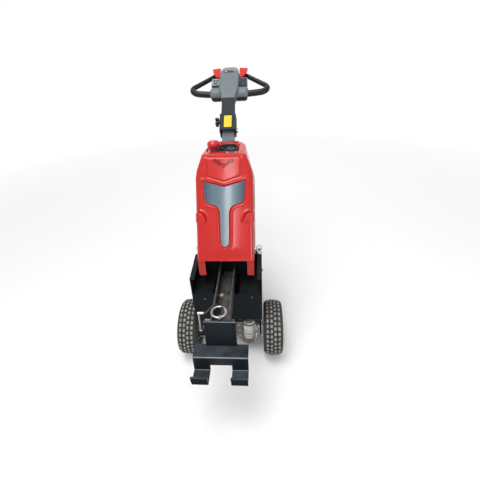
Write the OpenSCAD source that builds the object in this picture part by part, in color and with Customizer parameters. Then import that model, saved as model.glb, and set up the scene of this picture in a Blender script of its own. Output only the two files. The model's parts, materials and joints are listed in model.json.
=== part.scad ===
// Pedestrian electric mini tug: two driven pneumatic wheels, two rear casters,
// a moulded cover over the battery, a tiller to steer by and a forked tow hook.
// Millimetres. X runs across, +Y towards the operator, +Z up, ground at Z = 0.
// Inside the modules Y is measured from the drive axle.

/* [Drive wheels] */
// Radius of a drive tyre
tyre_r = 130; // [115:1:150]
// Width of a drive tyre
tyre_w = 92; // [70:1:98]
// Distance between the middles of the two drive tyres
track = 410; // [406:1:460]
// Radius of the rim under the tyre bead
rim_r = 60; // [54:1:68]
// Wall of the rim barrel
rim_wall = 5; // [4:0.5:8]
// Spokes of a rim, each split in two
spoke_count = 5; // [3:1:7]
// Width of one half of a split spoke
spoke_w = 8; // [5:0.5:11]
// Radius of the hub boss
hub_r = 22; // [18:1:26]
// Radius of the half shaft
shaft_r = 10; // [8:0.5:13]
// Half the width of the rim over its two lips
rim_lip = 40; // [36:1:42]

/* [Transaxle] */
// Radius of the axle tube
tube_r = 25; // [22:0.5:28]
// Radius of the flange between tube and gear case
flange_r = 38; // [32:1:44]
// Where the flange starts, across the machine
flange_x = 15; // [5:1:25]
// Where the gear case starts, across the machine
case_x = 60; // [50:1:66]
// Width of the gear case
case_w = 60; // [50:1:66]
// Radius of the gear case about the axle
case_r = 54; // [46:1:60]
// Distance of the motor's front face behind the axle
motor_y = 60; // [56:1:70]
// Radius of the motor
motor_r = 50; // [40:1:56]
// Length of the motor
motor_l = 150; // [110:1:165]
// Radius of the brake drum
drum_r = 33; // [30:1:33]
// Height of the gear case's parting rib above the ground
parting_z = 170; // [162:1:178]
// How far the bowl of the gear case stands ahead of the axle
bowl_y = 68; // [60:1:72]

/* [Frame] */
// Width over the two side plates
frame_w = 308; // [300:1:312]
// Thickness of the side plate sheet
side_t = 5; // [3:0.5:6]
// Width of the folded edge of a side plate
lip_w = 22; // [15:1:28]
// Thickness of the folded tub sheet
tub_t = 4; // [3:0.5:6]
// Height of the front panel's lower edge
panel_z0 = 260; // [240:1:275]
// Height of the two ledges
ledge_z = 420; // [400:1:428]
// Where the ledges end at the back
ledge_y = 49; // [30:1:60]
// Open bay between the ledges, left edge
bay_x0 = -61; // [-75:1:-50]
// Open bay between the ledges, right edge
bay_x1 = 54; // [50:1:75]
// Height of the wall behind the ledges
wall_z = 545; // [520:1:552]
// Depth of the caster beam, front to back
beam_d = 88; // [80:1:92]

/* [Battery] */
// Width of the battery block
battery_w = 240; // [180:1:260]
// Length of the battery block
battery_l = 170; // [120:1:175]
// Height of the battery block
battery_h = 150; // [110:1:155]
// Distance of the battery's front face behind the axle
battery_y = 80; // [60:1:85]

/* [Cover] */
// Half width of the cover
cover_hw = 123; // [115:1:126]
// Depth of the cover at the top
cover_d = 200; // [180:1:210]
// Lean of the cover from upright
cover_lean = 25; // [22:0.5:28]
// Distance of the front lower edge ahead of the axle
cover_y = 42; // [30:1:50]
// Height of the front lower edge
cover_z = 568; // [560:1:580]
// Height of the flat top
cover_top = 973; // [955:1:985]
// Wall of the cover
cover_t = 6; // [5:0.5:8]
// Radius of the cover's long front edges
cover_round = 20; // [12:1:26]
// Rounding of the cover's top edge
top_round = 12; // [6:1:16]
// Depth of the recess that holds the front insert
insert_recess = 4; // [3:0.5:5]
// Thickness of the front insert
insert_t = 2.5; // [1.5:0.5:3]
// How far the upper front panel stands proud
panel_proud = 5; // [3:0.5:8]
// Width of the bevel round the front insert and on the raised shield
bevel_w = 9; // [6:0.5:11]
// Depth of the finger pockets in the cover's front edges
pocket_d = 12; // [6:1:16]
// Depth of the panels pressed into the cover's flanks
flank_d = 2.5; // [1:0.5:4]
// Length of the two legs below the cover
leg_drop = 86; // [60:1:92]
// Width of a leg seen from the front
leg_w = 32; // [24:1:36]
// Distance of a leg's front face ahead of the axle
leg_y = 30; // [20:1:34]
// Thickness of the plate behind the cover
back_t = 4; // [3:0.5:6]

/* [Controls on top] */
// Radius of the emergency stop's mushroom head
stop_r = 28; // [20:1:30]
// Height of the emergency stop above the pit's floor
stop_h = 52; // [40:1:60]
// Distance of the emergency stop from the middle
stop_x = 54; // [50:1:56]
// Width of the instrument tray across
tray_w = 88; // [70:1:92]
// Length of the instrument tray front to back
tray_l = 126; // [100:1:132]
// Depth of the instrument tray
tray_d = 24; // [16:1:30]
// Distance of the instrument tray from the middle
tray_x = 10; // [8:1:14]
// Radius of the gauge
gauge_r = 19; // [14:1:22]

/* [Tow beam] */
// Width over the beam's two flanges
beam_w = 70; // [62:1:80]
// Thickness of the beam's flanges and floor
beam_t = 7; // [5:0.5:9]
// Height of the beam
beam_h = 65; // [50:1:70]
// Height of the flanges' top edge
beam_top = 500; // [495:1:510]
// Distance of the end plate's front face ahead of the axle
end_y = 305; // [280:1:330]
// Thickness of the end plate
end_t = 8; // [6:0.5:12]

// Radius of the tow pin
tow_pin_r = 8; // [6:0.5:9]
// Distance of the tow pin ahead of the axle
tow_pin_y = 283; // [278:1:285]

/* [Hook] */
// Thickness of the hook's plate
hook_t = 8; // [6:0.5:10]
// Width of the hook's shelf and over the prongs
hook_w = 202; // [180:1:220]
// Half width of the perforated upright
upright_hw = 58; // [54:1:70]
// Height of the upright's top edge
upright_top = 505; // [503:1:520]
// Height of the shelf's top face
shelf_z = 381; // [360:1:390]
// Depth of the shelf ahead of the upright
shelf_d = 52; // [40:1:65]
// Height of the prongs' top face
prong_z = 315; // [300:1:335]
// Length of a prong
prong_l = 55; // [50:1:80]
// Width of the gap between the prongs
prong_gap = 82; // [60:1:100]
// Height of the lips at the prong tips
lip_h = 40; // [20:1:48]
// How far the lips lean out
lip_out = 8; // [0:1:14]
// Radius of the holes in the upright
hole_r = 4.2; // [3:0.1:5]
// Rows of holes in the upright
hole_rows = 6; // [4:1:6]
// Distance between rows of holes
hole_pitch = 18; // [15:0.5:19]
// Distance between the two columns of holes
hole_span = 94; // [86:1:104]

/* [Lifting eyes] */
// Outer radius of a lifting eye
eye_r = 19; // [16:1:22]
// Radius of the bar that forms an eye
eye_bar_r = 4; // [3:0.5:5]

// Distance of the eyes behind the axle
eye_y = 84; // [80:1:110]

/* [Casters] */
// Radius of a caster wheel
caster_r = 40; // [32:1:42]
// Width of a caster wheel
caster_w = 30; // [22:1:34]
// Distance of a caster's swivel axis from the middle
caster_x = 121; // [100:1:125]
// Distance of the swivel axis behind the axle
caster_y = 322; // [300:1:330]
// Trail of the caster wheel behind its swivel axis
caster_trail = 34; // [20:1:36]
// Height of the caster's top plate
caster_h = 107; // [105:1:115]

/* [Tiller] */
// Height of the tiller hinge
hinge_z = 1006; // [1000:1:1020]
// Distance of the tiller hinge behind the axle
hinge_y = 429; // [424:1:436]
// Lean of the arm from upright
arm_lean = 46; // [40:1:52]
// Length of the arm from the hinge to the head
arm_l = 142; // [130:1:170]
// Width of the arm
arm_w = 62; // [54:1:66]
// Depth of the arm
arm_d = 42; // [36:1:48]
// Distance from the hinge to the arm's front face
arm_front = 60; // [58:1:64]
// Width over the cheeks at the arm's foot
cheek_w = 76; // [74:1:84]
// Thickness of a cheek
cheek_t = 5; // [4:0.5:6]
// Length of the wide sleeve above the hinge
sleeve_l = 57; // [50:1:80]
// Radius of the hinge bolt
bolt_r = 6; // [5:0.5:8]
// Width of the column
column_w = 60; // [54:1:61]
// Depth of the column
column_d = 40; // [36:1:44]

/* [Tiller head] */
// Lean of the head from upright
head_lean = 58; // [52:1:62]
// Length of the head above the arm
head_l = 256; // [240:1:266]
// Half width of the head's tongue at its widest
tongue_hw = 48; // [42:1:50]
// Half width of the head's foot
foot_hw = 34; // [33:1:38]
// Width of the head's cross barrel
cross_w = 192; // [180:1:204]
// Radius of the cross barrel
cross_r = 34; // [30:1:36]
// Distance of the cross barrel from the head's foot
cross_s = 70; // [64:1:76]
// Distance of the barrel and handles behind the head's middle plane
loop_y = 16; // [10:1:18]
// Reach of the handle loops from the middle, to the bend's centre line
loop_x = 190; // [182:1:196]
// Radius of the lower grip
grip_r = 16; // [14:0.5:18]
// Radius of the returning bar
return_r = 12; // [10:0.5:14]

/* [Hidden] */
$fn = 48;
fit = 0.3;
pin_gap = 0.1;
half_frame = frame_w / 2;
inner_x = half_frame - side_t;
wheel_x = track / 2;
stub_l = tyre_w / 2 + 30;
pin_x = -76;
pin_y = -285;
axle_z = tyre_r;
beam_z0 = beam_top - beam_h;
hook_front = end_y + hook_t + shelf_d + prong_l + lip_out;
arm_mid = arm_d / 2 - arm_front;
head_foot = [hinge_y + arm_l * sin(arm_lean) + arm_mid * cos(arm_lean),
    hinge_z + arm_l * cos(arm_lean) - arm_mid * sin(arm_lean)];
head_tip = 12;
head_rear = head_foot[0] + head_l * sin(head_lean) + head_tip * cos(head_lean);
axle_y = (hook_front - head_rear) / 2;
skirt_hw = cover_hw - 2 - cover_t - fit;

// Outline of a side plate: [y, z], anticlockwise from the front lower corner
SIDE = [[-76, panel_z0], [6, 232], [160, 208], [303, 143], [330, 191], [326, 376],
    [67, 524], [-85, 506]];
// Line of the folded tub sheet: [y, z] from the front panel's top to the back
TUB = [[-80, ledge_z], [-76 , panel_z0], [6, 232], [160, 208], [303, 143], [330, 191],
    [326, 370]];

// Places in the machine's frame, whose origin lies under the middle of the part
module in_frame() { translate([0, axle_y, 0]) children(); }

// Extrudes a [y, z] outline across the machine from x0 to x1
module across(x0, x1) {
    translate([x0, 0, 0]) rotate([90, 0, 90]) linear_extrude(x1 - x0) children();
}

// A cylinder that lies across the machine
module bar_x(r, x0, x1, y = 0, z = 0) {
    translate([x0, y, z]) rotate([0, 90, 0]) cylinder(r = r, h = x1 - x0);
}

function unit2(v) = v / norm(v);
function left_of(v) = [-v[1], v[0]];

// The point where an outline's corner lands when both its edges move by t
function moved_corner(a, b, c, t) =
    let (n1 = left_of(unit2(b - a)), n2 = left_of(unit2(c - b)))
    b + t * (n1 + n2) / (1 + n1 * n2);

// A closed outline moved inwards by t
function inset(p, t) = [for (i = [0:len(p) - 1])
    moved_corner(p[(i + len(p) - 1) % len(p)], p[i], p[(i + 1) % len(p)], t)];

// The far side of an open line moved to its left by t
function beside(p, t) = [for (i = [0:len(p) - 1])
    i == 0 ? p[0] + t * left_of(unit2(p[1] - p[0]))
    : i == len(p) - 1 ? p[i] + t * left_of(unit2(p[i] - p[i - 1]))
    : moved_corner(p[i - 1], p[i], p[i + 1], t)];

// A sheet of thickness t along an open line
function strip(p, t) = concat(p, [for (q = [1:len(p)]) beside(p, t)[len(p) - q]]);

// Frame

module frame_tub() {
    color("#1b1e20") in_frame() {
        difference() {
            across(-inner_x + fit, inner_x - fit) polygon(strip(TUB, tub_t));
            translate([bay_x0, -100, beam_z0 - 20 + tub_t]) cube([bay_x1 - bay_x0, 50, 100]);
        }
        for (side = [[-inner_x + fit, bay_x0], [bay_x1, inner_x - fit]])
            translate([side[0], -80, ledge_z - tub_t])
                cube([side[1] - side[0], ledge_y + 80, tub_t]);
        translate([-skirt_hw, ledge_y - tub_t, ledge_z - tub_t])
            cube([2 * skirt_hw, tub_t, wall_z - ledge_z + tub_t]);
    }
}

module side_plate(s) {
    color("#1b1e20") in_frame() mirror([s < 0 ? 1 : 0, 0, 0]) {
        across(inner_x, half_frame) polygon(SIDE);
        difference() {
            across(half_frame - lip_w, inner_x + 1) polygon(SIDE);
            across(half_frame - lip_w - 1, inner_x + 2) polygon(concat(
                [SIDE[0] - [30, 60], SIDE[3] + [60, -90], SIDE[4] + [60, -60], SIDE[5] + [60, -10]],
                [for (i = [5:7]) inset(SIDE, side_t)[i]], [inset(SIDE, side_t)[7] + [-60, -30]]));
        }
    }
}

// Height of a line through two [y, z] points at the distance y behind the axle
function line_z(a, b, y) = a[1] + (y - a[0]) * (b[1] - a[1]) / (b[0] - a[0]);

module axle_brackets() {
    bracket_w = 8;
    foot = tube_r + 7;
    color("#1b1e20") in_frame()
        for (x0 = [-inner_x + fit, inner_x - fit - bracket_w])
            difference() {
                across(x0, x0 + bracket_w) polygon([[-foot - 4, axle_z + 20], [-tube_r + 5, axle_z - foot],
                    [tube_r - 5, axle_z - foot], [foot + 4, axle_z + 20],
                    [2 * tube_r + 10, line_z(SIDE[1], SIDE[2], 2 * tube_r + 10) - fit],
                    SIDE[1] - [0, fit], [-2 * tube_r, line_z(SIDE[0], SIDE[1], -2 * tube_r) - fit]]);
                bar_x(tube_r + fit, x0 - 1, x0 + bracket_w + 1, 0, axle_z);
            }
}

beam_y = caster_y + 32;
beam_z = caster_h + 31.7;

module caster_beam() {
    heel = SIDE[3] - [0, fit];
    color("#1b1e20") in_frame() across(-half_frame, half_frame)
        polygon([[beam_y - beam_d, caster_h], [beam_y, caster_h], [beam_y, beam_z], [heel[0] + 19, beam_z],
            heel, [beam_y - beam_d, line_z(SIDE[2], SIDE[3], beam_y - beam_d) - fit]]);
}

module battery() {
    floor_z = line_z(TUB[2], TUB[3], battery_y) + tub_t + 0.5;
    color("#33373a") in_frame() translate([-battery_w / 2, battery_y, floor_z])
        cube([battery_w, battery_l, battery_h]);
}

// Line of the lid between the side plates, a little below their top edges: [y, z]
lid_drop = 10;
LID = [for (y = [118, SIDE[5][0] - 5]) [y, line_z(SIDE[6], SIDE[5], y) - lid_drop]];
// Outline of the hump on the lid, over the electrics: [y, z]
HUMP = [[174, 452], [206, 556], [218, 583], [268, 555], [279, 394]];

module rear_casing() {
    color("#202426") in_frame() {
        across(-inner_x + lip_w, inner_x - lip_w) polygon(strip(LID, tub_t));
        difference() {
            across(-108, 108) polygon(HUMP);
            across(-108 + tub_t, 108 - tub_t) polygon(concat([HUMP[0] + [-2, -6]],
                [for (i = [1:3]) inset(HUMP, -tub_t)[i]], [HUMP[4] + [2, -12]]));
        }
    }
}

// Cover

sin_l = sin(cover_lean);
cos_l = cos(cover_lean);

// Lays a shape drawn in the cover's front plane: x across, y up the slope, z to the front
module on_front(out = 0) {
    translate([0, -cover_y, cover_z]) rotate([90 - cover_lean, 0, 0])
        translate([0, 0, out]) children();
}

// A point of the side view from its place up the slope s and depth d behind the front
function slope(s, d) = [-cover_y + s * sin_l + d * cos_l, cover_z + s * cos_l - d * sin_l];
function up_to(z, d) = (z - cover_z + d * sin_l) / cos_l;

// Where the cover's lowest section lies up the slope, and how much the half width grows for each unit
foot_s = -leg_drop - 4;
side_taper = 2 / 412;
// Half width of the cover at distances up the slope: [distance, half width]
WIDTHS = [[foot_s, cover_hw - (352 - foot_s) * side_taper], [352, cover_hw], [388, cover_hw - 6]];
// Depth of the cover's rear edge at distances up the slope, from the top down: [distance, depth]
REAR = [[318, cover_d + 8], [309, cover_d - 1], [203, cover_d - 7], [176, cover_d - 24], [24, cover_d - 38]];
// The cover's top at its full size, and the corner radii of its front and rear
top_front = cover_hw - 25;
top_rear = cover_hw - 39;
front_r = 16;
rear_r = 30;

function both_sides(p) = concat(p, [for (i = [len(p) - 1:-1:0]) [-p[i][0], p[i][1]]]);
function top_y(d) = slope(up_to(cover_top, d), d)[0];
top_mid = (top_y(0) + top_y(cover_d)) / 2;

slice_t = 1.3;

// A thin slice across the cover at distance s up the slope, drawn in by t and run on by past
module cover_slice(s, hw, t, past) {
    on_front() translate([0, s, 0]) rotate([90, 0, 0]) linear_extrude(slice_t) hull() {
        for (side = [-1, 1]) translate([side * (hw - cover_round), -cover_round])
            circle(r = cover_round - t, $fn = 32);
        translate([t - hw, -cover_d - past]) square([2 * (hw - t), 1]);
    }
}

// A thin slice along the cover's top below height z, drawn in by t and run on by past
module top_slice(z, t, past) {
    front = slope(up_to(z, 0), 0)[0];
    rear = slope(up_to(z, cover_d), cover_d)[0];
    r1 = max(front_r, t + 1);
    flat = top_rear - rear_r;
    translate([0, 0, z - slice_t]) linear_extrude(slice_t) hull() {
        for (side = [-1, 1]) {
            translate([side * (top_front - r1), front + r1]) circle(r = r1 - t, $fn = 32);
            translate([side * flat, rear - rear_r]) circle(r = rear_r - t, $fn = 32);
        }
        if (past > 0) translate([-flat, rear]) square([2 * flat, past]);
    }
}

// The cover's outer form, drawn in by t on every side but its foot and run on past its rear edge
module cover_form(t, past) {
    foot_z = cover_z - leg_drop - past;
    intersection() {
        hull() {
            for (w = WIDTHS) cover_slice(w[0], w[1], t, past);
            top_slice(cover_top - top_round, t, past);
            top_slice(cover_top - t - top_round * 0.3, t + top_round * 0.3, past);
            top_slice(cover_top - t, t + top_round, past);
        }
        across(-cover_hw - 1, cover_hw + 1) polygon(concat(
            [[-leg_y + t, foot_z], [-leg_y + t, cover_z], slope(0, -1),
                slope(up_to(cover_top + 20, -1), -1), slope(up_to(cover_top + 20, cover_d), cover_d + 60)],
            [for (r = REAR) slope(r[0], r[1])],
            [[slope(24, cover_d - 38)[0] - 12, foot_z + 12], [50, foot_z]]));
    }
}

// A solid between an outline at height z0 and one with as many points at height z1
module loft(p, q, z0, z1) {
    n = len(p);
    polyhedron(concat([for (v = p) [v[0], v[1], z0]], [for (v = q) [v[0], v[1], z1]]),
        concat([[for (i = [0:n - 1]) i], [for (i = [n - 1:-1:0]) n + i]],
            [for (i = [0:n - 1]) [i, n + i, n + (i + 1) % n, (i + 1) % n]]));
}

// Right half of the front insert: [x, distance up the slope]
INSERT_HALF = [[9, 64], [17, 74], [19, 210], [27, 228], [36, 235], [76, 249], [82, 258], [89, 337]];
INSERT = concat(INSERT_HALF, [[0, 313]], [for (i = [len(INSERT_HALF) - 1:-1:0])
    [-INSERT_HALF[i][0], INSERT_HALF[i][1]]]);
// Raised shield over the insert: [x, distance up the slope]
SHIELD = [[0, 314], [70, 352], [75, 362], [75, 428], [67, 437], [-67, 437], [-75, 428], [-75, 362],
    [-70, 352]];
// Finger pocket in the right front edge: [x, distance up the slope]
POCKET = [[77, 166], [cover_hw + 9, 166], [cover_hw + 9, 208], [98, 208], [90, 204], [83, 194], [78, 180]];
// Panels pressed into a flank: [minus the depth, distance up the slope]
FLANKS = [[[-16, 212], [-16, 333], [-122, 306], [-145, 240], [-136, 220]],
    [[-16, 40], [-16, 158], [-116, 131], [-109, 47]]];
// Vent holes in the shield: [x, distance up the slope]
VENTS = [for (row = [0:3]) for (k = [-4 + row:4 - row]) if (row > 0 || abs(k) > 1) [k * 9, 427 - row * 9]];

// The instrument tray's outline on the top: a slot with round ends
module tray_shape(grow) {
    translate([tray_x, top_mid - 4]) {
        square([tray_w + 2 * grow, tray_l - tray_w], center = true);
        for (s = [-1, 1]) translate([0, s * (tray_l - tray_w) / 2]) circle(r = tray_w / 2 + grow);
    }
}

module at_stop(z) { translate([-stop_x, top_mid - 6, z]) children(); }

pit_r = 17;

module cover() {
    color("#c8372d") in_frame() difference() {
        union() {
            difference() {
                cover_form(0, 0);
                cover_form(cover_t, 30);
                on_front(-insert_recess) loft(INSERT, inset(INSERT, -bevel_w), 0, insert_recess + 0.6);
                for (f = FLANKS) for (s = [0, 1]) mirror([s, 0, 0]) on_front() translate([cover_hw, 0, 0])
                    rotate([0, -90, 0]) loft(inset(f, -2), inset(f, 4), -1, flank_d);
                for (s = [0, 1]) mirror([s, 0, 0]) on_front(-pocket_d)
                    loft(POCKET, inset(POCKET, -3), 0, pocket_d + 1);
                across(-cover_hw + leg_w, cover_hw - leg_w) polygon([[-leg_y - 1, cover_z - leg_drop - 1],
                    [-leg_y + cover_t + 60, cover_z - leg_drop - 1], [-leg_y + cover_t + 60, cover_z],
                    [-leg_y - 1, cover_z]]);
                translate([0, 0, cover_top - 20]) linear_extrude(30) tray_shape(0);
            }
            on_front(-1) loft(SHIELD, inset(SHIELD, bevel_w), 0, 1 + panel_proud);
            intersection() {
                cover_form(0.5, 0);
                difference() {
                    union() {
                        for (s = [0, 1]) mirror([s, 0, 0]) on_front(-pocket_d - cover_t)
                            linear_extrude(cover_t) polygon(inset(POCKET, -cover_t));
                        on_front(-insert_recess - 3) linear_extrude(3) polygon(inset(INSERT, -bevel_w));
                        at_stop(cover_top - tray_d) cylinder(r = pit_r + 4, h = tray_d);
                    }
                    for (s = [0, 1]) mirror([s, 0, 0]) on_front(-pocket_d) linear_extrude(60) polygon(POCKET);
                }
            }
        }
        at_stop(cover_top - tray_d + 4) cylinder(r = pit_r, h = tray_d);
        translate([0, 0, cover_top - 60]) linear_extrude(90) tray_shape(0);
        for (h = VENTS) on_front(-20) translate([h[0], h[1], 0]) cylinder(r = 2.4, h = 60, $fn = 12);
    }
}

module cover_insert() {
    color("#5d7384") in_frame() on_front(-insert_recess + fit)
        linear_extrude(insert_t) polygon(inset(INSERT, fit));
}

// The plate behind the cover, from a foot on the wall behind the ledges up to the top
module back_plate() {
    foot = ledge_y + fit;
    line = concat([[foot, wall_z - 65], [foot, wall_z - 40], [slope(24, cover_d - 38)[0] - 8, wall_z - 40]],
        [for (i = [4:-1:2]) slope(REAR[i][0], REAR[i][1] + fit)], [slope(309, cover_d + fit)],
        [slope(up_to(cover_top - 2, cover_d + fit), cover_d + fit)]);
    function z_at(s) = slope(s, cover_d)[1];
    color("#17191b") in_frame() intersection() {
        across(-cover_hw - 5, cover_hw + 5) polygon(strip([for (i = [len(line) - 1:-1:0]) line[i]], back_t));
        rotate([90, 0, 0]) translate([0, 0, -500]) linear_extrude(600) polygon(both_sides([
            [skirt_hw, cover_z - 120], [skirt_hw, 524], [cover_hw + 1.5, 526], [cover_hw + 1.5, z_at(352)],
            [cover_hw - 4.5, z_at(388)], [top_rear + 1.5, z_at(388) + 75], [top_rear + 1.5, cover_top - 24],
            [top_rear - 20, cover_top + 5]]));
    }
}

module instrument_bay() {
    color("#17191b") in_frame() difference() {
        translate([0, 0, cover_top - tray_d]) linear_extrude(tray_d) tray_shape(-fit);
        translate([0, 0, cover_top - tray_d + 4]) linear_extrude(tray_d) tray_shape(-4);
    }
}

module gauge() {
    color("#22262a") in_frame() translate([tray_x + 13, top_mid - 10, cover_top - tray_d + 4 + fit]) {
        cylinder(r = gauge_r, h = 15);
        translate([0, 0, 14]) cylinder(r1 = gauge_r + 2, r2 = gauge_r - 1, h = 4);
    }
}

module emergency_stop() {
    color("#c01818") in_frame() at_stop(cover_top - tray_d + 4 + fit) rotate_extrude()
        polygon([[0, 0], [13, 0], [13, stop_h - 28], [stop_r - 2, stop_h - 25], [stop_r, stop_h - 21],
            [stop_r, stop_h - 12], [stop_r - 3, stop_h - 6], [stop_r - 10, stop_h - 1], [0, stop_h]]);
}

// Towing gear

module tow_beam() {
    color("#1f2224") in_frame() difference() {
        translate([-beam_w / 2, -end_y + end_t, beam_z0])
            cube([beam_w, end_y - end_t + ledge_y - tub_t - fit, beam_h]);
        translate([-beam_w / 2 + beam_t, -end_y - 1, beam_z0 + beam_t])
            cube([beam_w - 2 * beam_t, end_y + ledge_y + 2, beam_h]);
        translate([0, -tow_pin_y, beam_z0 - 1]) cylinder(r = tow_pin_r + pin_gap, h = beam_t + 2);
    }
}

// The holes of the upright and of the end plate behind it
edge_gap = 13;

module plate_holes(rows) {
    for (x = [-hole_span / 2, hole_span / 2]) for (k = rows)
        translate([x, -end_y - hook_t - 1, upright_top - edge_gap - k * hole_pitch]) rotate([-90, 0, 0])
            cylinder(r = hole_r, h = hook_t + end_t + 2);
}

module end_plate() {
    half = hole_span / 2 + hole_r + 4;
    lug_z = beam_z0 - 11;
    foot = min(upright_top - edge_gap - (hole_rows - 1) * hole_pitch - 10, lug_z - 4);
    color("#1f2224") in_frame() difference() {
        union() {
            translate([-half, -end_y, foot])
                cube([2 * half, end_t - fit, upright_top - foot - 9]);
            translate([pin_x - 10, -end_y, lug_z]) cube([half - pin_x - 60, 32, 6]);
        }
        plate_holes([0, 1, hole_rows - 2, hole_rows - 1]);
        translate([pin_x, pin_y, lug_z - 10]) cylinder(r = 5 + pin_gap, h = 30);
    }
}

module hook() {
    shelf_y = -end_y - hook_t - shelf_d;
    lip_lean = atan(lip_out / lip_h);
    tip_y = lip_out + hook_t * cos(lip_lean) - hook_front;
    drop = 40;
    sheet = [[-end_y - fit, shelf_z], [shelf_y, shelf_z], [shelf_y, prong_z], [tip_y, prong_z],
        [tip_y - lip_out, prong_z + lip_h]];
    color("#23282b") in_frame() {
        difference() {
            translate([-upright_hw, -end_y - hook_t - fit, shelf_z - hook_t])
                cube([2 * upright_hw, hook_t, upright_top - shelf_z + hook_t]);
            plate_holes([0:hole_rows - 1]);
        }
        difference() {
            across(-hook_w / 2, hook_w / 2) polygon(strip(sheet, hook_t));
            across(-prong_gap / 2, prong_gap / 2) polygon([[-hook_front - 9, prong_z - 20],
                [shelf_y + hook_t + 1, prong_z - 20], [shelf_y + hook_t + 1, shelf_z - drop],
                [shelf_y - 1, shelf_z - drop], [shelf_y - 1, shelf_z - 5], [-hook_front - 9, shelf_z - 5]]);
        }
    }
}

ring_r = 26;
ring_bar_r = 4.5;
pin_below = 30;

module tow_pin() {
    color("#b9bcc0") in_frame() translate([0, -tow_pin_y, 0]) {
        translate([0, 0, beam_z0 - pin_below]) cylinder(r = tow_pin_r, h = beam_h + pin_below - 2);
        translate([0, 0, beam_z0 + beam_t + fit]) cylinder(r = tow_pin_r + 4, h = 12);
        translate([-6, 12, beam_top + 11]) rotate([20, 0, 0]) rotate_extrude()
            translate([ring_r, 0]) circle(r = ring_bar_r);
        translate([-6, -16, beam_top - 4]) cube([12, 14, 12]);
    }
}

pull_z = beam_top + 19;

module t_pin() {
    color("#b9bcc0") in_frame() translate([pin_x, pin_y, 0]) {
        translate([0, 0, beam_z0 - 35]) cylinder(r = 5, h = pull_z - beam_z0 + 35);
        translate([0, 0, beam_z0 - 5 + fit]) cylinder(r = 8, h = 5);
        bar_x(5, -6, 18, 0, pull_z);
    }
}

rope_r = 3;
// Course of the limp release rope, from the T bar into the beam's channel: [x, y, z]
floor_z = beam_z0 + beam_t + rope_r + fit;
over_z = beam_top + rope_r + fit;
ROPE = [[pin_x + 18 + rope_r + fit, pin_y, pull_z - 2], [-48, -268, over_z + 8], [-39, -246, over_z + 3],
    [-31, -232, over_z + 1], [-23, -224, over_z - 1], [-19, -217, over_z - 16], [-19, -208, floor_z + 26],
    [-20, -196, floor_z + 8], [-21, -180, floor_z + 1], [-22, -160, floor_z], [-22, -130, floor_z],
    [-21, -100, floor_z], [-21, -76, floor_z], [-20, -58, floor_z], [-23, -36, floor_z], [-24, -12, floor_z],
    [-22, 12, floor_z], [-17, 32, floor_z], [-9, 36, floor_z], [-4, 20, floor_z], [-4, -6, floor_z],
    [-8, -32, floor_z], [-13, -54, floor_z], [-13, -76, floor_z], [-12, -104, floor_z],
    [-12, -134, floor_z], [-13, -162, floor_z], [-14, -184, floor_z + 1], [-15, -200, floor_z + 8],
    [-13, -212, floor_z + 20]];

module release_rope() {
    color("#2b2a28") in_frame() for (i = [0:len(ROPE) - 2]) hull() for (k = [0, 1])
        translate(ROPE[i + k]) sphere(r = rope_r, $fn = 8);
}

module lifting_eye(s) {
    edge = unit2(SIDE[5] - SIDE[6]);
    color("#d8d8d6") in_frame() translate([s * (half_frame - lip_w / 2), eye_y, 0])
        translate([0, 0, SIDE[6][1] + (eye_y - SIDE[6][0]) * edge[1] / edge[0]])
            rotate([asin(edge[1]), 0, 0]) {
                translate([0, 0, fit]) cylinder(r = 9, h = 6);
                translate([0, 0, 5 + eye_r]) rotate([90, 0, s * 45]) rotate_extrude()
                    translate([eye_r - eye_bar_r, 0]) circle(r = eye_bar_r);
            }
}

// Drive

module axle_tube() {
    color("#b4b8bb") in_frame() difference() {
        bar_x(tube_r, -wheel_x + tyre_w / 2 + 3, flange_x, 0, axle_z);
        bar_x(shaft_r + pin_gap, -wheel_x, -wheel_x + tyre_w / 2 + 45, 0, axle_z);
    }
}

// Bowl of the gear case ahead of the axle: [y, z], from its top round the front to its rear
BOWL = [[0, parting_z + 46], [-bowl_y + 20, parting_z + 44], [-bowl_y + 3, parting_z + 34],
    [-bowl_y, parting_z - 6], [-bowl_y + 6, axle_z], [-bowl_y + 17, axle_z - 31],
    [-bowl_y + 36, axle_z - 52], [0, axle_z - case_r]];
// Flange behind the bowl: [distance right of the bowl's middle, z], clockwise from the top left
FLANGE = [[-case_w / 2 - 30, parting_z + 40], [case_w / 2 - 4, parting_z + 40],
    [case_w / 2 + 16, axle_z + 22], [case_w / 2 + 2, axle_z - 34], [case_w / 2 - 13, axle_z - 70],
    [-case_w / 2 + 4, axle_z - 70], [-case_w / 2 - 4, axle_z - 50], [-case_w / 2 - 28, axle_z - 14],
    [-case_w / 2 - 30, axle_z + 20]];
flange_t = 12;
flange_y = 34;

module gear_case() {
    x1 = case_x + case_w;
    middle = case_x + case_w / 2;
    color("#a9adb0") in_frame() {
        bar_x(flange_r, flange_x, flange_x + 20, 0, axle_z);
        bar_x(flange_r - 8, flange_x + 19, case_x + 1, 0, axle_z);
        bar_x(case_r, case_x + 2, x1, 0, axle_z);
        across(case_x, x1 - 2) polygon(BOWL);
        across(case_x - 3, x1) polygon([[-bowl_y - 3, parting_z - 3], [-bowl_y - 3, parting_z + 3],
            [-2, parting_z + 3], [-2, parting_z - 3]]);
        translate([middle, -flange_y, 0]) rotate([90, 0, 0]) linear_extrude(flange_t) polygon(FLANGE);
        translate([middle, 0, axle_z]) rotate([-90, 0, 0]) cylinder(r = 30, h = motor_y);
    }
}

module motor() {
    cap = 14;
    color("#2a2d2f") in_frame() translate([case_x + case_w / 2, motor_y + fit, axle_z]) rotate([-90, 0, 0]) {
        cylinder(r = motor_r, h = motor_l - cap);
        cylinder(r = motor_r - 6, h = motor_l);
    }
}

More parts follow.
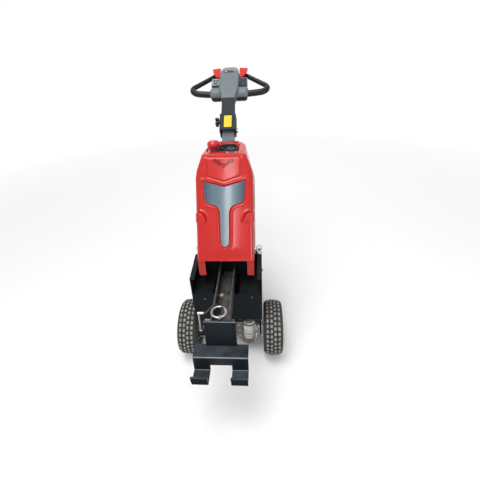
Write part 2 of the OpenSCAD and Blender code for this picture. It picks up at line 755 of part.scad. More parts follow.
module brake_drum() {
    color("#25292c") in_frame() difference() {
        union() {
            bar_x(drum_r, case_x + case_w, inner_x - fit - 8.3, 0, axle_z);
            bar_x(tube_r, inner_x - 20, wheel_x - tyre_w / 2 - 3, 0, axle_z);
        }
        bar_x(shaft_r + pin_gap, wheel_x - tyre_w / 2 - 45, wheel_x, 0, axle_z);
    }
}

// Cross section of a tyre: [radius, distance from the middle], right half
TYRE = [[rim_r, 0], [rim_r, 36], [rim_r + 10, 38], [rim_r + 26, tyre_w / 2], [tyre_r - 24, tyre_w / 2 - 1],
    [tyre_r - 8, tyre_w / 2 - 9], [tyre_r - 1.5, tyre_w / 4], [tyre_r, 0]];

module tyre(s) {
    color("#26282a") in_frame() translate([s * wheel_x, 0, axle_z]) rotate([0, 90, 0]) rotate_extrude()
        polygon(concat(TYRE, [for (i = [len(TYRE) - 2:-1:1]) [TYRE[i][0], -TYRE[i][1]]]));
}

// One half of a split spoke: it leaves the hub at angle a and meets the barrel at angle b
module spoke_half(a, b) {
    foot = (hub_r - 3) * [cos(a), sin(a)];
    tip = (rim_r - rim_wall / 2) * [cos(b), sin(b)];
    side = left_of(unit2(tip - foot)) * spoke_w / 2;
    polygon([foot - side, tip - side, tip + side, foot + side]);
}

module rim(s) {
    color("#a8abad") in_frame() translate([s * wheel_x, 0, axle_z]) rotate([0, s * 90, 0]) {
        rotate_extrude() polygon([[rim_r - rim_wall, -rim_lip], [rim_r + 3, -rim_lip],
            [rim_r + 3, 2.8 - rim_lip], [rim_r - fit, 2.8 - rim_lip], [rim_r - fit, rim_lip - 2.8],
            [rim_r + 3, rim_lip - 2.8],
            [rim_r + 3, rim_lip], [rim_r - rim_wall, rim_lip]]);
        rotate_extrude() polygon([[shaft_r + pin_gap, -36], [30, -36], [30, -28], [16, -28], [16, 4],
            [hub_r, 4], [hub_r, 24], [hub_r - 6, 29], [shaft_r + pin_gap, 29]]);
        translate([0, 0, 8]) linear_extrude(13) for (k = [0:spoke_count - 1]) for (half = [-1, 1])
            spoke_half(k * 360 / spoke_count + half * 9, k * 360 / spoke_count + half * 17);
    }
}

// A wheel's half shaft, with the nut that holds the rim
module half_shaft(s) {
    color("#b9bcc0") in_frame() translate([s * wheel_x, 0, axle_z]) rotate([0, s * 90, 0]) {
        translate([0, 0, -stub_l]) cylinder(r = shaft_r, h = stub_l + 31);
        translate([0, 0, 29 + fit]) cylinder(r = shaft_r + 4, h = 6, $fn = 6);
    }
}

// Casters

module caster_fork(s) {
    color("#23272a") in_frame() translate([s * caster_x, caster_y, 0]) {
        translate([0, 0, caster_h - 8]) cylinder(r = 24, h = 8 - fit);
        for (side = [-1, 1]) mirror([side < 0 ? 1 : 0, 0, 0])
            across(caster_w / 2 + 1.5, caster_w / 2 + 5.5)
                polygon([[-20, caster_h - 8], [-14, 84], [caster_trail - 8, 30], [caster_trail + 8, 30],
                    [caster_trail + 12, 60], [22, caster_h - 8]]);
        translate([-caster_w / 2 - 5.5, -20, caster_h - 12]) cube([caster_w + 11, 42, 4.5]);
        bar_x(5, -caster_w / 2 - 9, caster_w / 2 + 9, caster_trail, caster_r);
    }
}

module caster_wheel(s) {
    color("#c08a2e") in_frame() translate([s * caster_x, caster_y + caster_trail, caster_r])
        rotate([0, 90, 0]) difference() {
            rotate_extrude() polygon([[0, -caster_w / 2], [caster_r - 4, -caster_w / 2],
                [caster_r, -caster_w / 2 + 4], [caster_r, caster_w / 2 - 4],
                [caster_r - 4, caster_w / 2], [0, caster_w / 2]]);
            cylinder(r = 5 + fit, h = 100, center = true);
        }
}

module lock_lever(s) {
    root = [144, beam_y - 18, beam_z + 5];
    knob = [154, beam_y + 34, beam_z + 34];
    color("#202325") in_frame() mirror([s < 0 ? 1 : 0, 0, 0]) {
        translate([135, beam_y - 28, beam_z + fit]) cube([18, 20, 9]);
        taper(root, knob, 4, 4);
        translate(knob) sphere(r = 9.5);
    }
}

// Tiller

// Stands a shape on the hinge and leans it back: z runs along the arm, -y is its front face
module on_arm(lean) {
    translate([0, hinge_y, hinge_z]) rotate([-lean, 0, 0]) children();
}

// Places a shape on the head: z runs along the head from its foot
module on_head() {
    translate([0, head_foot[0], head_foot[1]]) rotate([-head_lean, 0, 0]) children();
}

module tiller_column() {
    hinge = [hinge_y, hinge_z];
    front = cover_d + back_t + 2 * fit;
    rear = front + column_d;
    foot = 215;
    color("#5b6a73") in_frame() difference() {
        union() {
            bar_x(22, -column_w / 2, column_w / 2, hinge_y, hinge_z);
            across(-column_w / 2, column_w / 2) polygon([slope(foot, front), slope(foot, rear),
                slope(up_to(hinge_z - 37, rear), rear), hinge + 21 * [cos(25), -sin(25)],
                hinge + 21 * [-sin(25), cos(25)], hinge + [-31, 14], hinge + [-48, -12],
                slope(up_to(cover_top + 4, front), front)]);
        }
        bar_x(bolt_r + pin_gap, -column_w, column_w, hinge_y, hinge_z);
    }
}

// Round corners of a cheek in the arm's side view: [distance behind the hinge, up the arm, radius]
CHEEK = [[8 - arm_front, -22, 8], [-8, -16, 24], [2, 10, 18], [-2, sleeve_l - 5, 10],
    [8 - arm_front, sleeve_l - 8, 8]];

module tiller_arm() {
    plate = 5;
    back = arm_d - arm_front;
    color("#3b4447") in_frame() difference() {
        on_arm(arm_lean) {
            for (x0 = [-cheek_w / 2, cheek_w / 2 - cheek_t]) across(x0, x0 + cheek_t) hull()
                for (c = CHEEK) translate([c[0], c[1]]) circle(r = c[2]);
            translate([-cheek_w / 2 + 1, -arm_front, -30]) cube([cheek_w - 2, plate, sleeve_l + 30]);
            translate([-cheek_w / 2 + 1, 1 - arm_front, sleeve_l - 22]) cube([cheek_w - 2, arm_d + 10, 22]);
            translate([-arm_w / 2, 1 - arm_front, sleeve_l - 14]) cube([arm_w, arm_d - 1, 2 * arm_l]);
            across(-arm_w / 2, arm_w / 2) polygon([[back - 2, sleeve_l - 14], [4, sleeve_l - 14],
                [6, sleeve_l + 1], [back, sleeve_l + 49], [back - 2, sleeve_l + 49]]);
        }
        on_arm(arm_lean) bar_x(bolt_r + fit, -cheek_w, cheek_w, 0, 0);
        on_head() translate([-150, -150, -fit]) cube(300);
    }
}

module hinge_bolt() {
    side = cheek_w / 2;
    color("#c4c6c8") in_frame() on_arm(arm_lean) {
        bar_x(bolt_r, -side - 4, side + 4, 0, 0);
        bar_x(11, side + fit, side + 8, 0, 0);
        bar_x(11, -side - 8, -side - fit, 0, 0);
    }
}

module clamp_knob() {
    side = -cheek_w / 2 - fit;
    color("#141516") in_frame() on_arm(arm_lean) translate([0, -34, 28]) {
        bar_x(13, side - 20, side, 0, 0);
        for (k = [0:4]) rotate([k * 72, 0, 0]) bar_x(7, side - 22, side - 8, 0, 16);
    }
}

// Sections of the head's tongue: [distance from the foot, half width, front, rear]
TONGUE = [[0, foot_hw, -24, 20], [30, foot_hw + 4, -27, 24], [62, tongue_hw, -30, 28],
    [140, tongue_hw + 1, -32, 26], [200, tongue_hw - 1, -29, 18], [head_l - 24, tongue_hw - 7, -20, 14],
    [head_l - 6, tongue_hw - 18, -12, 13], [head_l - 0.4, tongue_hw - 26, -6, head_tip]];
split_y = 10;
bar_s = 212;
bar_x1 = 86;

// The head's whole form, with its cross barrel half_w wide to each side
module head_form(half_w) {
    for (i = [0:len(TONGUE) - 2]) hull() for (t = [TONGUE[i], TONGUE[i + 1]])
        translate([0, 0, t[0]]) linear_extrude(0.4) for (x = [8 - t[1], t[1] - 8])
            for (y = [t[2] + 8, t[3] - 8]) translate([x, y]) circle(r = 8, $fn = 16);
    translate([0, loop_y, cross_s]) rotate([0, 90, 0]) rotate_extrude() polygon([[0, -half_w],
        [cross_r - 10, -half_w], [cross_r - 3, 4 - half_w], [cross_r, 12 - half_w],
        [cross_r, half_w - 12], [cross_r - 3, half_w - 4], [cross_r - 10, half_w], [0, half_w]]);
}

module head_shell() {
    color("#6a757a") in_frame() on_head() intersection() {
        head_form(cross_w / 2);
        translate([-cross_w, split_y - 100, -1]) cube([2 * cross_w, 100, head_l + 2]);
    }
}

module head_rim() {
    color("#1a1c1e") in_frame() on_head() {
        intersection() {
            head_form(cross_w / 2 - 4);
            translate([-cross_w, split_y + fit, -1]) cube([2 * cross_w, 100, head_l + 2]);
        }
        difference() {
            bar_x(return_r - 1, -bar_x1, bar_x1, loop_y, bar_s);
            translate([-tongue_hw, split_y - 100 + fit, bar_s - 40]) cube([2 * tongue_hw, 100, 80]);
        }
    }
}

// A round bar between two points, of radius ra at a and rb at b
module taper(a, b, ra, rb) {
    v = b - a;
    translate(a) rotate([0, acos(v[2] / norm(v)), atan2(v[1], v[0])]) cylinder(r1 = ra, r2 = rb, h = norm(v));
}

// Course of a handle loop from the barrel's end to the cross bar: [x, distance from the foot, radius]
LOOP = [[cross_w / 2 - 8, cross_s + 1, grip_r], [loop_x - 40, cross_s + 9, grip_r],
    [loop_x - 16, cross_s + 16, grip_r - 0.5], [loop_x - 2, cross_s + 28, grip_r - 1],
    [loop_x + 2, cross_s + 43, grip_r - 1.5], [loop_x - 4, cross_s + 58, return_r + 1.5],
    [loop_x - 18, cross_s + 71, return_r + 0.5],
    [(loop_x + bar_x1) / 2 - 10, (cross_s + bar_s) / 2 + 36, return_r], [bar_x1, bar_s, return_r]];

module handle(s) {
    color("#17191a") in_frame() on_head() mirror([s < 0 ? 1 : 0, 0, 0]) difference() {
        for (i = [0:len(LOOP) - 2]) hull() for (p = [LOOP[i], LOOP[i + 1]])
            translate([p[0], loop_y, p[1]]) sphere(r = p[2], $fn = 20);
        translate([0, -50, 0]) cube([cross_w / 2 + fit, 120, bar_s - 60]);
        translate([0, -50, bar_s - 60]) cube([bar_x1 + fit, 120, 120]);
    }
}

module throttle(s) {
    wing = [[50, 165], [76, 165], [92, 205], [92, 238], [50, 238]];
    color("#c4222a") in_frame() on_head() mirror([s < 0 ? 1 : 0, 0, 0]) {
        translate([0, -2, 0]) rotate([90, 0, 0]) linear_extrude(14) polygon(wing);
        bar_x(6, tongue_hw + fit, 60, -9, 186);
    }
}

module button_panels() {
    foot = cross_s + cross_r + fit;
    color("#8c979c") in_frame() on_head()
        for (s = [0, 1]) mirror([s, 0, 0])
            translate([tongue_hw + 1 + fit, -14, foot]) cube([42, 32, 160 - foot]);
}

frame_tub();
side_plate(-1);  // side_plate_left
side_plate(1);  // side_plate_right
axle_brackets();
caster_beam();
battery();
rear_casing();
cover();
cover_insert();
instrument_bay();
gauge();
emergency_stop();
back_plate();
tow_beam();
end_plate();
hook();
tow_pin();
t_pin();
release_rope();
lifting_eye(-1);  // lifting_eye_left
lifting_eye(1);  // lifting_eye_right
axle_tube();
gear_case();
motor();
brake_drum();
tyre(-1);  // tyre_left
rim(-1);  // rim_left
half_shaft(-1);  // half_shaft_left
tyre(1);  // tyre_right
rim(1);  // rim_right
half_shaft(1);  // half_shaft_right
caster_fork(-1);  // caster_fork_left
caster_wheel(-1);  // caster_wheel_left
caster_fork(1);  // caster_fork_right
caster_wheel(1);  // caster_wheel_right
lock_lever(-1);  // lock_lever_left
lock_lever(1);  // lock_lever_right
tiller_column();
tiller_arm();
hinge_bolt();
clamp_knob();
head_shell();
head_rim();
handle(-1);  // handle_left
handle(1);  // handle_right
throttle(-1);  // throttle_left
throttle(1);  // throttle_right
button_panels();
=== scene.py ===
# %% [markdown]
# # A walk-behind electric mini tug
#
# The real machine is a small frame of folded sheet on two pneumatic drive wheels and two casters.
# A red moulded cover leans over the battery, a tiller with two handle loops stands behind it, and
# a forked hook on a beam pulls the trolley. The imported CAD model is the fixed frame: its sizes,
# places and joints are settled. This lesson gives it the looks: rounded edges, tread, fasteners,
# soft moulded forms and finishes that change over the surface.

# %% Frame
import json
import math

import bmesh
import bpy
import numpy as np
from mathutils import Matrix, Vector

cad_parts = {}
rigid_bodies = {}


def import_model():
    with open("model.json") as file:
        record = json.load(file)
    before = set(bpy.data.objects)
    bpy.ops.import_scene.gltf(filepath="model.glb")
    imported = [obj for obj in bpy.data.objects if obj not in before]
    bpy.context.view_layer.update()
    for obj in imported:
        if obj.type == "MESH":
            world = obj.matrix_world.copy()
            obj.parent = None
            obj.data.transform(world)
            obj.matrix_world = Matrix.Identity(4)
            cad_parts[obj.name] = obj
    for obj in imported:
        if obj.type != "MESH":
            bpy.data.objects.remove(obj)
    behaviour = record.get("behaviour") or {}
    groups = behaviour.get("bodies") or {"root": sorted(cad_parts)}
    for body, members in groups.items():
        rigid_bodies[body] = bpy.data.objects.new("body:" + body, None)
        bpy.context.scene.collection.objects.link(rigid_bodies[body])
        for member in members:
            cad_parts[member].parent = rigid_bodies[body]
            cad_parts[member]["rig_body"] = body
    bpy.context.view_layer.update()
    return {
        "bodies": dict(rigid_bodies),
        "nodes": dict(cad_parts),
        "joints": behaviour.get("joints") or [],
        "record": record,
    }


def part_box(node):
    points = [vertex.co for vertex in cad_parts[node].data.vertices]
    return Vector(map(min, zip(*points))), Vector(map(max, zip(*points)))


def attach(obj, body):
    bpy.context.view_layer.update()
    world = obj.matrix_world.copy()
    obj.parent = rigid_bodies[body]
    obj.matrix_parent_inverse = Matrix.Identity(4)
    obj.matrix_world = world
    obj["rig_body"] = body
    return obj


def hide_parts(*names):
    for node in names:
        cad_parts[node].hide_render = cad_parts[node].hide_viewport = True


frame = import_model()
nodes = frame["nodes"]
tyre_low, tyre_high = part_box("tyre_left")
axle_y = (tyre_low.y + tyre_high.y) / 2
print("nodes", len(nodes), "drive axle at y", round(axle_y, 4))

# %% [markdown]
# ## One frame for everything
#
# Makers measure from an axle or a hinge, not from the middle of a box. So each piece is modelled in
# millimetres from the drive axle, or from the head's foot, the arm's hinge or the cover's front
# plane, and one matrix carries it to the part's frame in metres. A matrix for each sub-frame keeps
# the numbers short, and a piece lands where the CAD solid is, with no fitting by eye.

# %% Sub-frames
to_part = Matrix.Translation((0, axle_y, 0)) @ Matrix.Scale(0.001, 4)


def at(x, y, z):
    """A place, with no turn."""
    return Matrix.Translation((x, y, z))


def turned(place, axis, angle):
    """A place, and a turn about an axis in degrees."""
    return Matrix.Translation(place) @ Matrix.Rotation(math.radians(angle), 4, axis)


FRONT_Y, FRONT_Z = -42, 568
ARM = turned((0, 429, 1006), "X", -46)
head_foot = ARM @ Vector((0, -39, 142))
HEAD = turned(head_foot, "X", -58)
FRONT = turned((0, FRONT_Y, FRONT_Z), "X", 65)
to_head = to_part @ HEAD
print("head's foot", head_foot[:], "top of the head", (HEAD @ Vector((0, 0, 256)))[:])

# %% [markdown]
# ## The camera
#
# The photograph looks down on the machine from head height with a wide phone lens, a little from
# the right and slightly rolled. The place, pitch and roll come from a fit of known heights and
# widths on the machine, so every piece can be compared with the photograph region by region.

# %% Camera
def linked(name, data):
    """A new object with that data, in the scene."""
    made = bpy.data.objects.new(name, data)
    bpy.context.scene.collection.objects.link(made)
    return made


HEADING, PITCH, ROLL = 4.3, 28.3, -2.7
lens = bpy.data.cameras.new("photograph")
lens.sensor_width, lens.lens = 36, 22.6
lens.shift_x, lens.shift_y = -0.001, -0.054
camera = linked("photograph", lens)
turn = (Matrix.Rotation(math.radians(HEADING), 4, "Z")
        @ Matrix.Rotation(math.radians(90 - PITCH), 4, "X")
        @ Matrix.Rotation(math.radians(ROLL), 4, "Z"))
eye = to_part @ Vector((150.5, -1065, 1346))
camera.matrix_world = Matrix.Translation(eye) @ turn
bpy.context.scene.camera = camera
print("camera at", [round(v, 3) for v in eye])

# %% [markdown]
# ## Shader sums as Python
#
# A finish is a small sum of noises, masks and colours. Written node by node it hides its meaning.
# One class wraps a socket, so that `1 - mask * 0.5` adds the Math nodes by itself, and one method
# adds any other node from its type, its settings and its sockets. Colours go through Mix, because
# a Math node would turn them grey.

# %% Wires
class Wire:
    """A socket of a shader tree that takes part in Python sums."""

    def __init__(self, tree, socket=None):
        self.tree = tree
        self.socket = socket

    def node(self, kind, settings=None, sockets=None, output=0):
        """Adds a node: its settings are made first, then each socket gets its value or link."""
        made = self.tree.nodes.new("ShaderNode" + kind)
        for name, value in (settings or {}).items():
            setattr(made, name, value)
        for name, value in (sockets or {}).items():
            if isinstance(value, Wire):
                self.tree.links.new(value.socket, made.inputs[name])
            else:
                made.inputs[name].default_value = value
        return Wire(self.tree, made.outputs[output])

    def sum(self, operation, a, b):
        return self.node("Math", {"operation": operation}, {0: a, 1: b})

    def __add__(self, other):
        return self.sum("ADD", self, other)

    def __sub__(self, other):
        return self.sum("SUBTRACT", self, other)

    def __rsub__(self, other):
        return self.sum("SUBTRACT", other, self)

    def __mul__(self, other):
        return self.sum("MULTIPLY", self, other)

    __radd__ = __add__
    __rmul__ = __mul__

    def between(self, low, high):
        """0 below low, 1 above high and a ramp between them."""
        return self.node("MapRange", {"clamp": True},
                         {"Value": self, "From Min": low, "From Max": high})

    def mix(self, a, b):
        """Colour a where this wire is 0 and colour b where it is 1."""
        pick = {"Factor": self}
        for index, colour in ((6, a), (7, b)):
            pick[index] = colour if isinstance(colour, Wire) else (*colour, 1)
        return self.node("Mix", {"data_type": "RGBA"}, pick, 2)


def noise(place, scale, detail, roughness=0.5):
    """A grey cloud from 0 to 1 with about scale lumps in a metre."""
    return place.node("TexNoise", None, {"Vector": place, "Scale": scale, "Detail": detail,
                                         "Roughness": roughness})


def bump(height, depth, strength):
    """A normal from a height of 0 to 1 that stands depth metres high."""
    return height.node("Bump", None, {"Height": height, "Distance": depth, "Strength": strength})


def stretched(place, scales):
    """The place with each axis scaled by its own factor, for grain that runs along one of them."""
    return place.node("VectorMath", {"operation": "MULTIPLY"}, {0: place, 1: scales})


def upward(place):
    """1 on level tops, 0 on walls: where dust settles."""
    normal = place.node("NewGeometry", output="Normal")
    return place.node("SeparateXYZ", None, {0: normal}, 2).between(0.35, 0.95)


def finish(name, recipe, **fixed):
    """A Principled material: recipe gives what changes over the surface, fixed what doesn't."""
    material = bpy.data.materials.new(name)
    material.use_nodes = True
    tree = material.node_tree
    shader = tree.nodes["Principled BSDF"]
    place = Wire(tree).node("TexCoord", output="Object")
    for socket, value in recipe(place).items():
        tree.links.new(value.socket, shader.inputs[socket])
    for socket, value in fixed.items():
        shader.inputs[socket.replace("_", " ")].default_value = value
    return material


# %% [markdown]
# ## Painted and powder-coated steel
#
# The frame is black powder coat: a satin film with fine orange peel and dust on every level top. A
# flat black would hide all folds, so the dust mask reads which way the surface faces, and a fine
# noise becomes the bump. The hook's level tops are a cooler grey, dust and painted sheen together;
# its lips, which look along the pale floor, carry painted shade, and its sloping bend a painted
# highlight. The tiller has the same recipe in greys.

# %% Painted steel
DUST = (0.27, 0.25, 0.22)


def coated(colour, dust=0.35, rough=0.42, grain=900, depth=0.00012, lies=DUST):
    """Powder coat of a colour, with a fine grain and settled dust of the colour lies."""
    def recipe(place):
        cloud = noise(place, 14, 5, 0.6)
        settled = upward(place) * cloud.between(0.3, 0.75) * dust
        film = cloud * 0.08
        tone = film.mix(colour, tuple(min(1, c * 1.6 + 0.01) for c in colour))
        return {"Base Color": settled.mix(tone, lies),
                "Roughness": rough + settled * 0.5 + cloud * 0.08,
                "Normal": bump(noise(place, grain, 2), depth, 0.35)}
    return recipe


frame_black = finish("frame_powder_coat", coated((0.006, 0.008, 0.010), 0.03), IOR=1.15)
# The hook's level tops take a cool blue-grey: partly settled dust, partly a painted sheen.
hook_black = finish("hook_powder_coat",
                    coated((0.008, 0.011, 0.014), 0.24, 0.38, lies=(0.19, 0.23, 0.27)), IOR=1.2)
# Painted shade: the hook's lips get a darker, duller finish with almost no reflection.
lip_painted_shade = finish("hook_lip_painted_shade", coated((0.010, 0.013, 0.015), 0, 0.6), IOR=1.05)
# Painted highlight: the sloping bend gets a paler, metallic finish that shines like a bright fold.
fold_painted_highlight = finish("hook_fold_painted_highlight", coated((0.085, 0.095, 0.11), 0, 0.3), Metallic=0.7)
arm_grey = finish("arm_textured_paint", coated((0.019, 0.026, 0.030), 0.05, 0.55, 600, 0.0003), IOR=1.2)
column_grey = finish("column_paint", coated((0.08, 0.108, 0.128), 0.06, 0.35, 500, 0.0001))


def worn_beam(place):
    """Black paint on the beam, rubbed to brown primer in streaks along it."""
    streak = noise(stretched(place, (6, 1, 6)), 18, 6, 0.7)
    rubbed = streak.between(0.52, 0.68) * 0.55
    dust = upward(place) * noise(place, 30, 4).between(0.35, 0.7) * 0.25
    paint = rubbed.mix((0.022, 0.022, 0.023), (0.075, 0.045, 0.036))
    return {"Base Color": dust.mix(paint, DUST), "Roughness": 0.42 + rubbed * 0.3 + dust * 0.4,
            "Normal": bump(noise(place, 500, 3), 0.0002, 0.4)}


beam_black = finish("beam_worn_paint", worn_beam)
print("painted steels", frame_black.name, hook_black.name, beam_black.name)

# %% [markdown]
# ## Moulded plastics
#
# The cover is glossy red plastic: a deep colour under a clear reflecting skin, faint haze and a
# ripple too fine to see except in the reflections. The insert is darker, smoother and shows fine
# scratches. The head is matt with a spark-eroded grain, the handles are black with less grain.

# %% Plastics
def glossy(colour, haze=0.06, rough=0.2):
    """Shiny moulded plastic with a slow ripple and a little haze."""
    def recipe(place):
        cloud = noise(place, 9, 4, 0.55)
        fine = noise(place, 260, 2)
        dull = upward(place) * cloud.between(0.4, 0.8) * haze
        tone = (cloud * 0.12).mix(colour, tuple(c * 0.8 for c in colour))
        return {"Base Color": dull.mix(tone, DUST),
                "Roughness": rough + cloud * 0.06 + dull * 0.8,
                "Normal": bump(fine * 0.3 + cloud, 0.0003, 0.12)}
    return recipe


def grained(colour, rough=0.55, scale=1400, depth=0.00018, dust=0.1):
    """Matt plastic with an eroded grain."""
    def recipe(place):
        pits = place.node("TexVoronoi", {"feature": "F1"}, {"Vector": place, "Scale": scale})
        cloud = noise(place, 20, 4)
        settled = upward(place) * cloud.between(0.35, 0.8) * dust
        tone = (cloud * 0.2).mix(colour, tuple(c * 1.35 for c in colour))
        return {"Base Color": settled.mix(tone, DUST),
                "Roughness": rough + cloud * 0.1,
                "Normal": bump(pits, depth, 0.5)}
    return recipe


def scratched(place):
    """The insert's blue-grey gloss with fine scratches along it, darker towards both ends as painted shade."""
    lines = noise(stretched(place, (9, 1, 1)), 160, 4, 0.7).between(0.62, 0.72)
    cloud = noise(place, 12, 3)
    across = place.node("SeparateXYZ", None, {0: place}, 0)
    # Painted shade: the insert grows darker towards both ends, where its crown turns away.
    ends = (across * across).between(0.0025, 0.0068)
    tone = (cloud * 0.5).mix((0.060, 0.105, 0.140), (0.085, 0.140, 0.180))
    return {"Base Color": ends.mix(tone, (0.024, 0.042, 0.056)),
            "Roughness": 0.16 + lines * 0.14 + cloud * 0.06,
            "Normal": bump(cloud, 0.0004, 0.15)}


cover_red = finish("cover_red_plastic", glossy((0.44, 0.009, 0.006), 0.02, 0.14), IOR=1.42)
insert_blue = finish("insert_gloss", scratched, Specular_IOR_Level=0.7)
head_grey = finish("head_grey_plastic", grained((0.100, 0.120, 0.132), 0.46))
button_grey = finish("button_plastic", grained((0.23, 0.26, 0.275), 0.45))
handle_black = finish("handle_black_plastic",
                      grained((0.007, 0.008, 0.009), 0.24, 1800, 0.00006, 0.02), IOR=1.3)
panel_black = finish("panel_black_plastic", grained((0.018, 0.019, 0.02), 0.5))
stop_red = finish("stop_red_plastic", glossy((0.47, 0.010, 0.010), 0.03, 0.16), IOR=1.42)
wing_red = finish("throttle_red_plastic", glossy((0.50, 0.020, 0.014), 0.02, 0.22), IOR=1.38)
knob_orange = finish("knob_orange_plastic", glossy((0.62, 0.16, 0.02), 0.1, 0.25))
vent_shadow = finish("vent_shadow", grained((0.010, 0.004, 0.004), 0.9, dust=0), IOR=1.05)
gauge_dark = finish("gauge_face_print", grained((0.02, 0.022, 0.024), 0.3, 900, 0.00003, 0))
glass_black = finish("window_black_gloss", glossy((0.008, 0.009, 0.01), 0, 0.08), Coat_Weight=0.6)
strip_blue = finish("strip_blue_gloss", glossy((0.07, 0.06, 0.36), 0.02, 0.25))
rim_black = finish("rim_black_paint", coated((0.014, 0.015, 0.016), 0.1, 0.3))
print("plastics ready", len(bpy.data.materials))

# %% [markdown]
# ## Rubber, castings and bright metal
#
# The tyres are black rubber, but the tops of the tread blocks carry pale dust from the floor, so
# the tread gets its own finish. The gear case is sand-cast aluminium, darker and browner on its inner
# side and low down and darkened in its grooves as painted shade, the axle silver paint, the pins
# bright zinc, and the spokes machined alloy on a black rim.
# All of them change in slow patches over a finer bump, so one recipe serves with other numbers.

# %% Metals and rubber
def mottled(low, high, cloud, rough, more, grain, depth, strength, span=None):
    """Two colours in patches. The bump is a noise named by grain, or the patches themselves."""
    def recipe(place):
        patches = noise(place, *cloud)
        shown = patches.between(*span) if span else patches
        return {"Base Color": shown.mix(low, high), "Roughness": rough + patches * more,
                "Normal": bump(noise(place, *grain) if grain else patches, depth, strength)}
    return recipe


cast = mottled((0.40, 0.40, 0.39), (0.62, 0.62, 0.61), (35, 5, 0.6), 0.32, 0.2, (420, 4, 0.6), 0.0006, 0.6)
# A darker brown casting for the gear case's inner side and low parts, and painted shade in its grooves.
dark_cast = mottled((0.085, 0.072, 0.062), (0.19, 0.17, 0.15), (45, 5, 0.6), 0.5, 0.2,
                  (420, 4, 0.6), 0.0006, 0.6)
rubber = mottled((0.016, 0.017, 0.018), (0.0314, 0.031, 0.03025), (25, 5, 0.6), 0.62, 0.2,
                 (700, 3), 0.00025, 0.5, span=(0.4, 0.8))
dusty = mottled((0.13, 0.122, 0.113), (0.36, 0.33, 0.30), (60, 5, 0.65), 0.85, 0.1,
                (500, 4), 0.0004, 0.6, span=(0.25, 0.75))
zinc = mottled((0.26, 0.27, 0.29), (0.42, 0.43, 0.45), (50, 4), 0.24, 0.2, (300, 3), 0.0001, 0.3)
turned_alloy = mottled((0.62, 0.63, 0.64), (0.74, 0.75, 0.76), (1200, 2), 0.22, 0.15, None, 0.00005, 0.4)
amber = mottled((0.42, 0.17, 0.02), (0.60, 0.28, 0.045), (40, 4), 0.35, 0.3, None, 0.0004, 0.3)

tyre_rubber = finish("tyre_rubber", rubber, Specular_IOR_Level=0.4)
tread_dust = finish("tread_dusty_rubber", dusty, Specular_IOR_Level=0.25)
case_cast = finish("gear_case_casting", cast, Metallic=0.7)
case_dark_and_groove_shade = finish("gear_case_dark_and_groove_shade", dark_cast, Metallic=0.4)
axle_silver = finish("axle_silver_paint", cast, Metallic=0.6)
bright_zinc = finish("bright_zinc", zinc, Metallic=1.0)
alloy_face = finish("machined_alloy", turned_alloy, Metallic=1.0)
caster_amber = finish("caster_amber_rubber", amber)
motor_black = finish("motor_paint", coated((0.02, 0.022, 0.024), 0.2, 0.35))
label_yellow = finish("label_yellow_film", glossy((0.68, 0.47, 0.004), 0.02, 0.35), IOR=1.3)
eye_white = finish("eye_worn_paint", coated((0.62, 0.60, 0.58), 0.05, 0.4, 300, 0.0002))
print("materials", len(bpy.data.materials))

# %% [markdown]
# ## The release rope
#
# A limp braided cord, 6 mm thick, ties the T-handled pin to the machine: it leaves the T bar, climbs
# over the beam's flange and lies in the channel, doubled and tied. It comes first because its
# length and its bends are facts, and they decide where its solid lies. One smooth open curve with
# round bevel is the rope; its points repeat the CAD solid's course.

# %% Rope
CHANNEL = [(-22, -160), (-22, -130), (-21, -100), (-21, -76), (-20, -58), (-23, -36), (-24, -12), (-22, 12),
           (-17, 32), (-9, 36), (-4, 20), (-4, -6), (-8, -32), (-13, -54), (-13, -76), (-12, -104),
           (-12, -134), (-13, -162)]
ROPE = [(-54.7, -285, 517), (-48, -268, 511.3), (-39, -246, 506.3), (-31, -232, 504.3),
        (-23, -224, 502.3), (-19, -217, 487.3), (-19, -208, 471.3), (-20, -196, 453.3), (-21, -180, 446.3),
        *((x, y, 445.3) for x, y in CHANNEL), (-14, -184, 446.3), (-15, -200, 453.3), (-13, -212, 465.3)]


def braid(place):
    """Plaited strands that follow the cord."""
    weave = place.node("TexWave", {"wave_type": "BANDS", "bands_direction": "DIAGONAL"},
                       {"Vector": place, "Scale": 330, "Distortion": 0.4}, 1)
    return {"Base Color": weave.mix((0.022, 0.020, 0.018), (0.11, 0.10, 0.09)),
            "Roughness": 0.8 + weave * 0.1, "Normal": bump(weave, 0.0006, 0.8)}


def round_bar(name, points, radii, material, resolution):
    """A round bar along points in the part's frame, with a radius in millimetres at each."""
    curve = bpy.data.curves.new(name, "CURVE")
    curve.dimensions = "3D"
    curve.bevel_depth = 0.001
    curve.bevel_resolution = resolution
    curve.use_fill_caps = True
    spline = curve.splines.new("POLY")
    spline.points.add(len(points) - 1)
    for dot, place, radius in zip(spline.points, points, radii):
        dot.co = (*place, 1)
        dot.radius = radius
    curve.materials.append(material)
    return linked(name, curve)


def smooth_path(points, steps=4):
    """More points on a smooth line through the given ones."""
    out = []
    for i in range(len(points) - 1):
        p = [Vector(points[max(0, min(len(points) - 1, i + k))]) for k in (-1, 0, 1, 2)]
        for n in range(steps):
            t = n / steps
            out.append(0.5 * (2 * p[1] + (p[2] - p[0]) * t + (2 * p[0] - 5 * p[1] + 4 * p[2] - p[3]) * t * t
                              + (3 * p[1] - p[0] - 3 * p[2] + p[3]) * t ** 3))
    return out + [Vector(points[-1])]


rope_finish = finish("rope_braid", braid)
rope_line = [to_part @ p for p in smooth_path(ROPE)]
rope_length = sum((b - a).length for a, b in zip(rope_line, rope_line[1:]))
rope = round_bar("release_rope_braid", rope_line, [3] * len(rope_line), rope_finish, 4)
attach(rope, "machine")
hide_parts("release_rope")
print("rope length", round(rope_length, 3))

# %% [markdown]
# ## Folded and welded steel
#
# Real sheet has no knife edges: each fold and each cut is broken by a millimetre or so, and that
# thin line of light is what makes it look like metal. A CAD node's mesh is loose triangles, so a
# copy is merged, its flat faces are joined, and a Bevel modifier rounds every edge sharper than
# its limit. The copy replaces the node and rides on the same body.

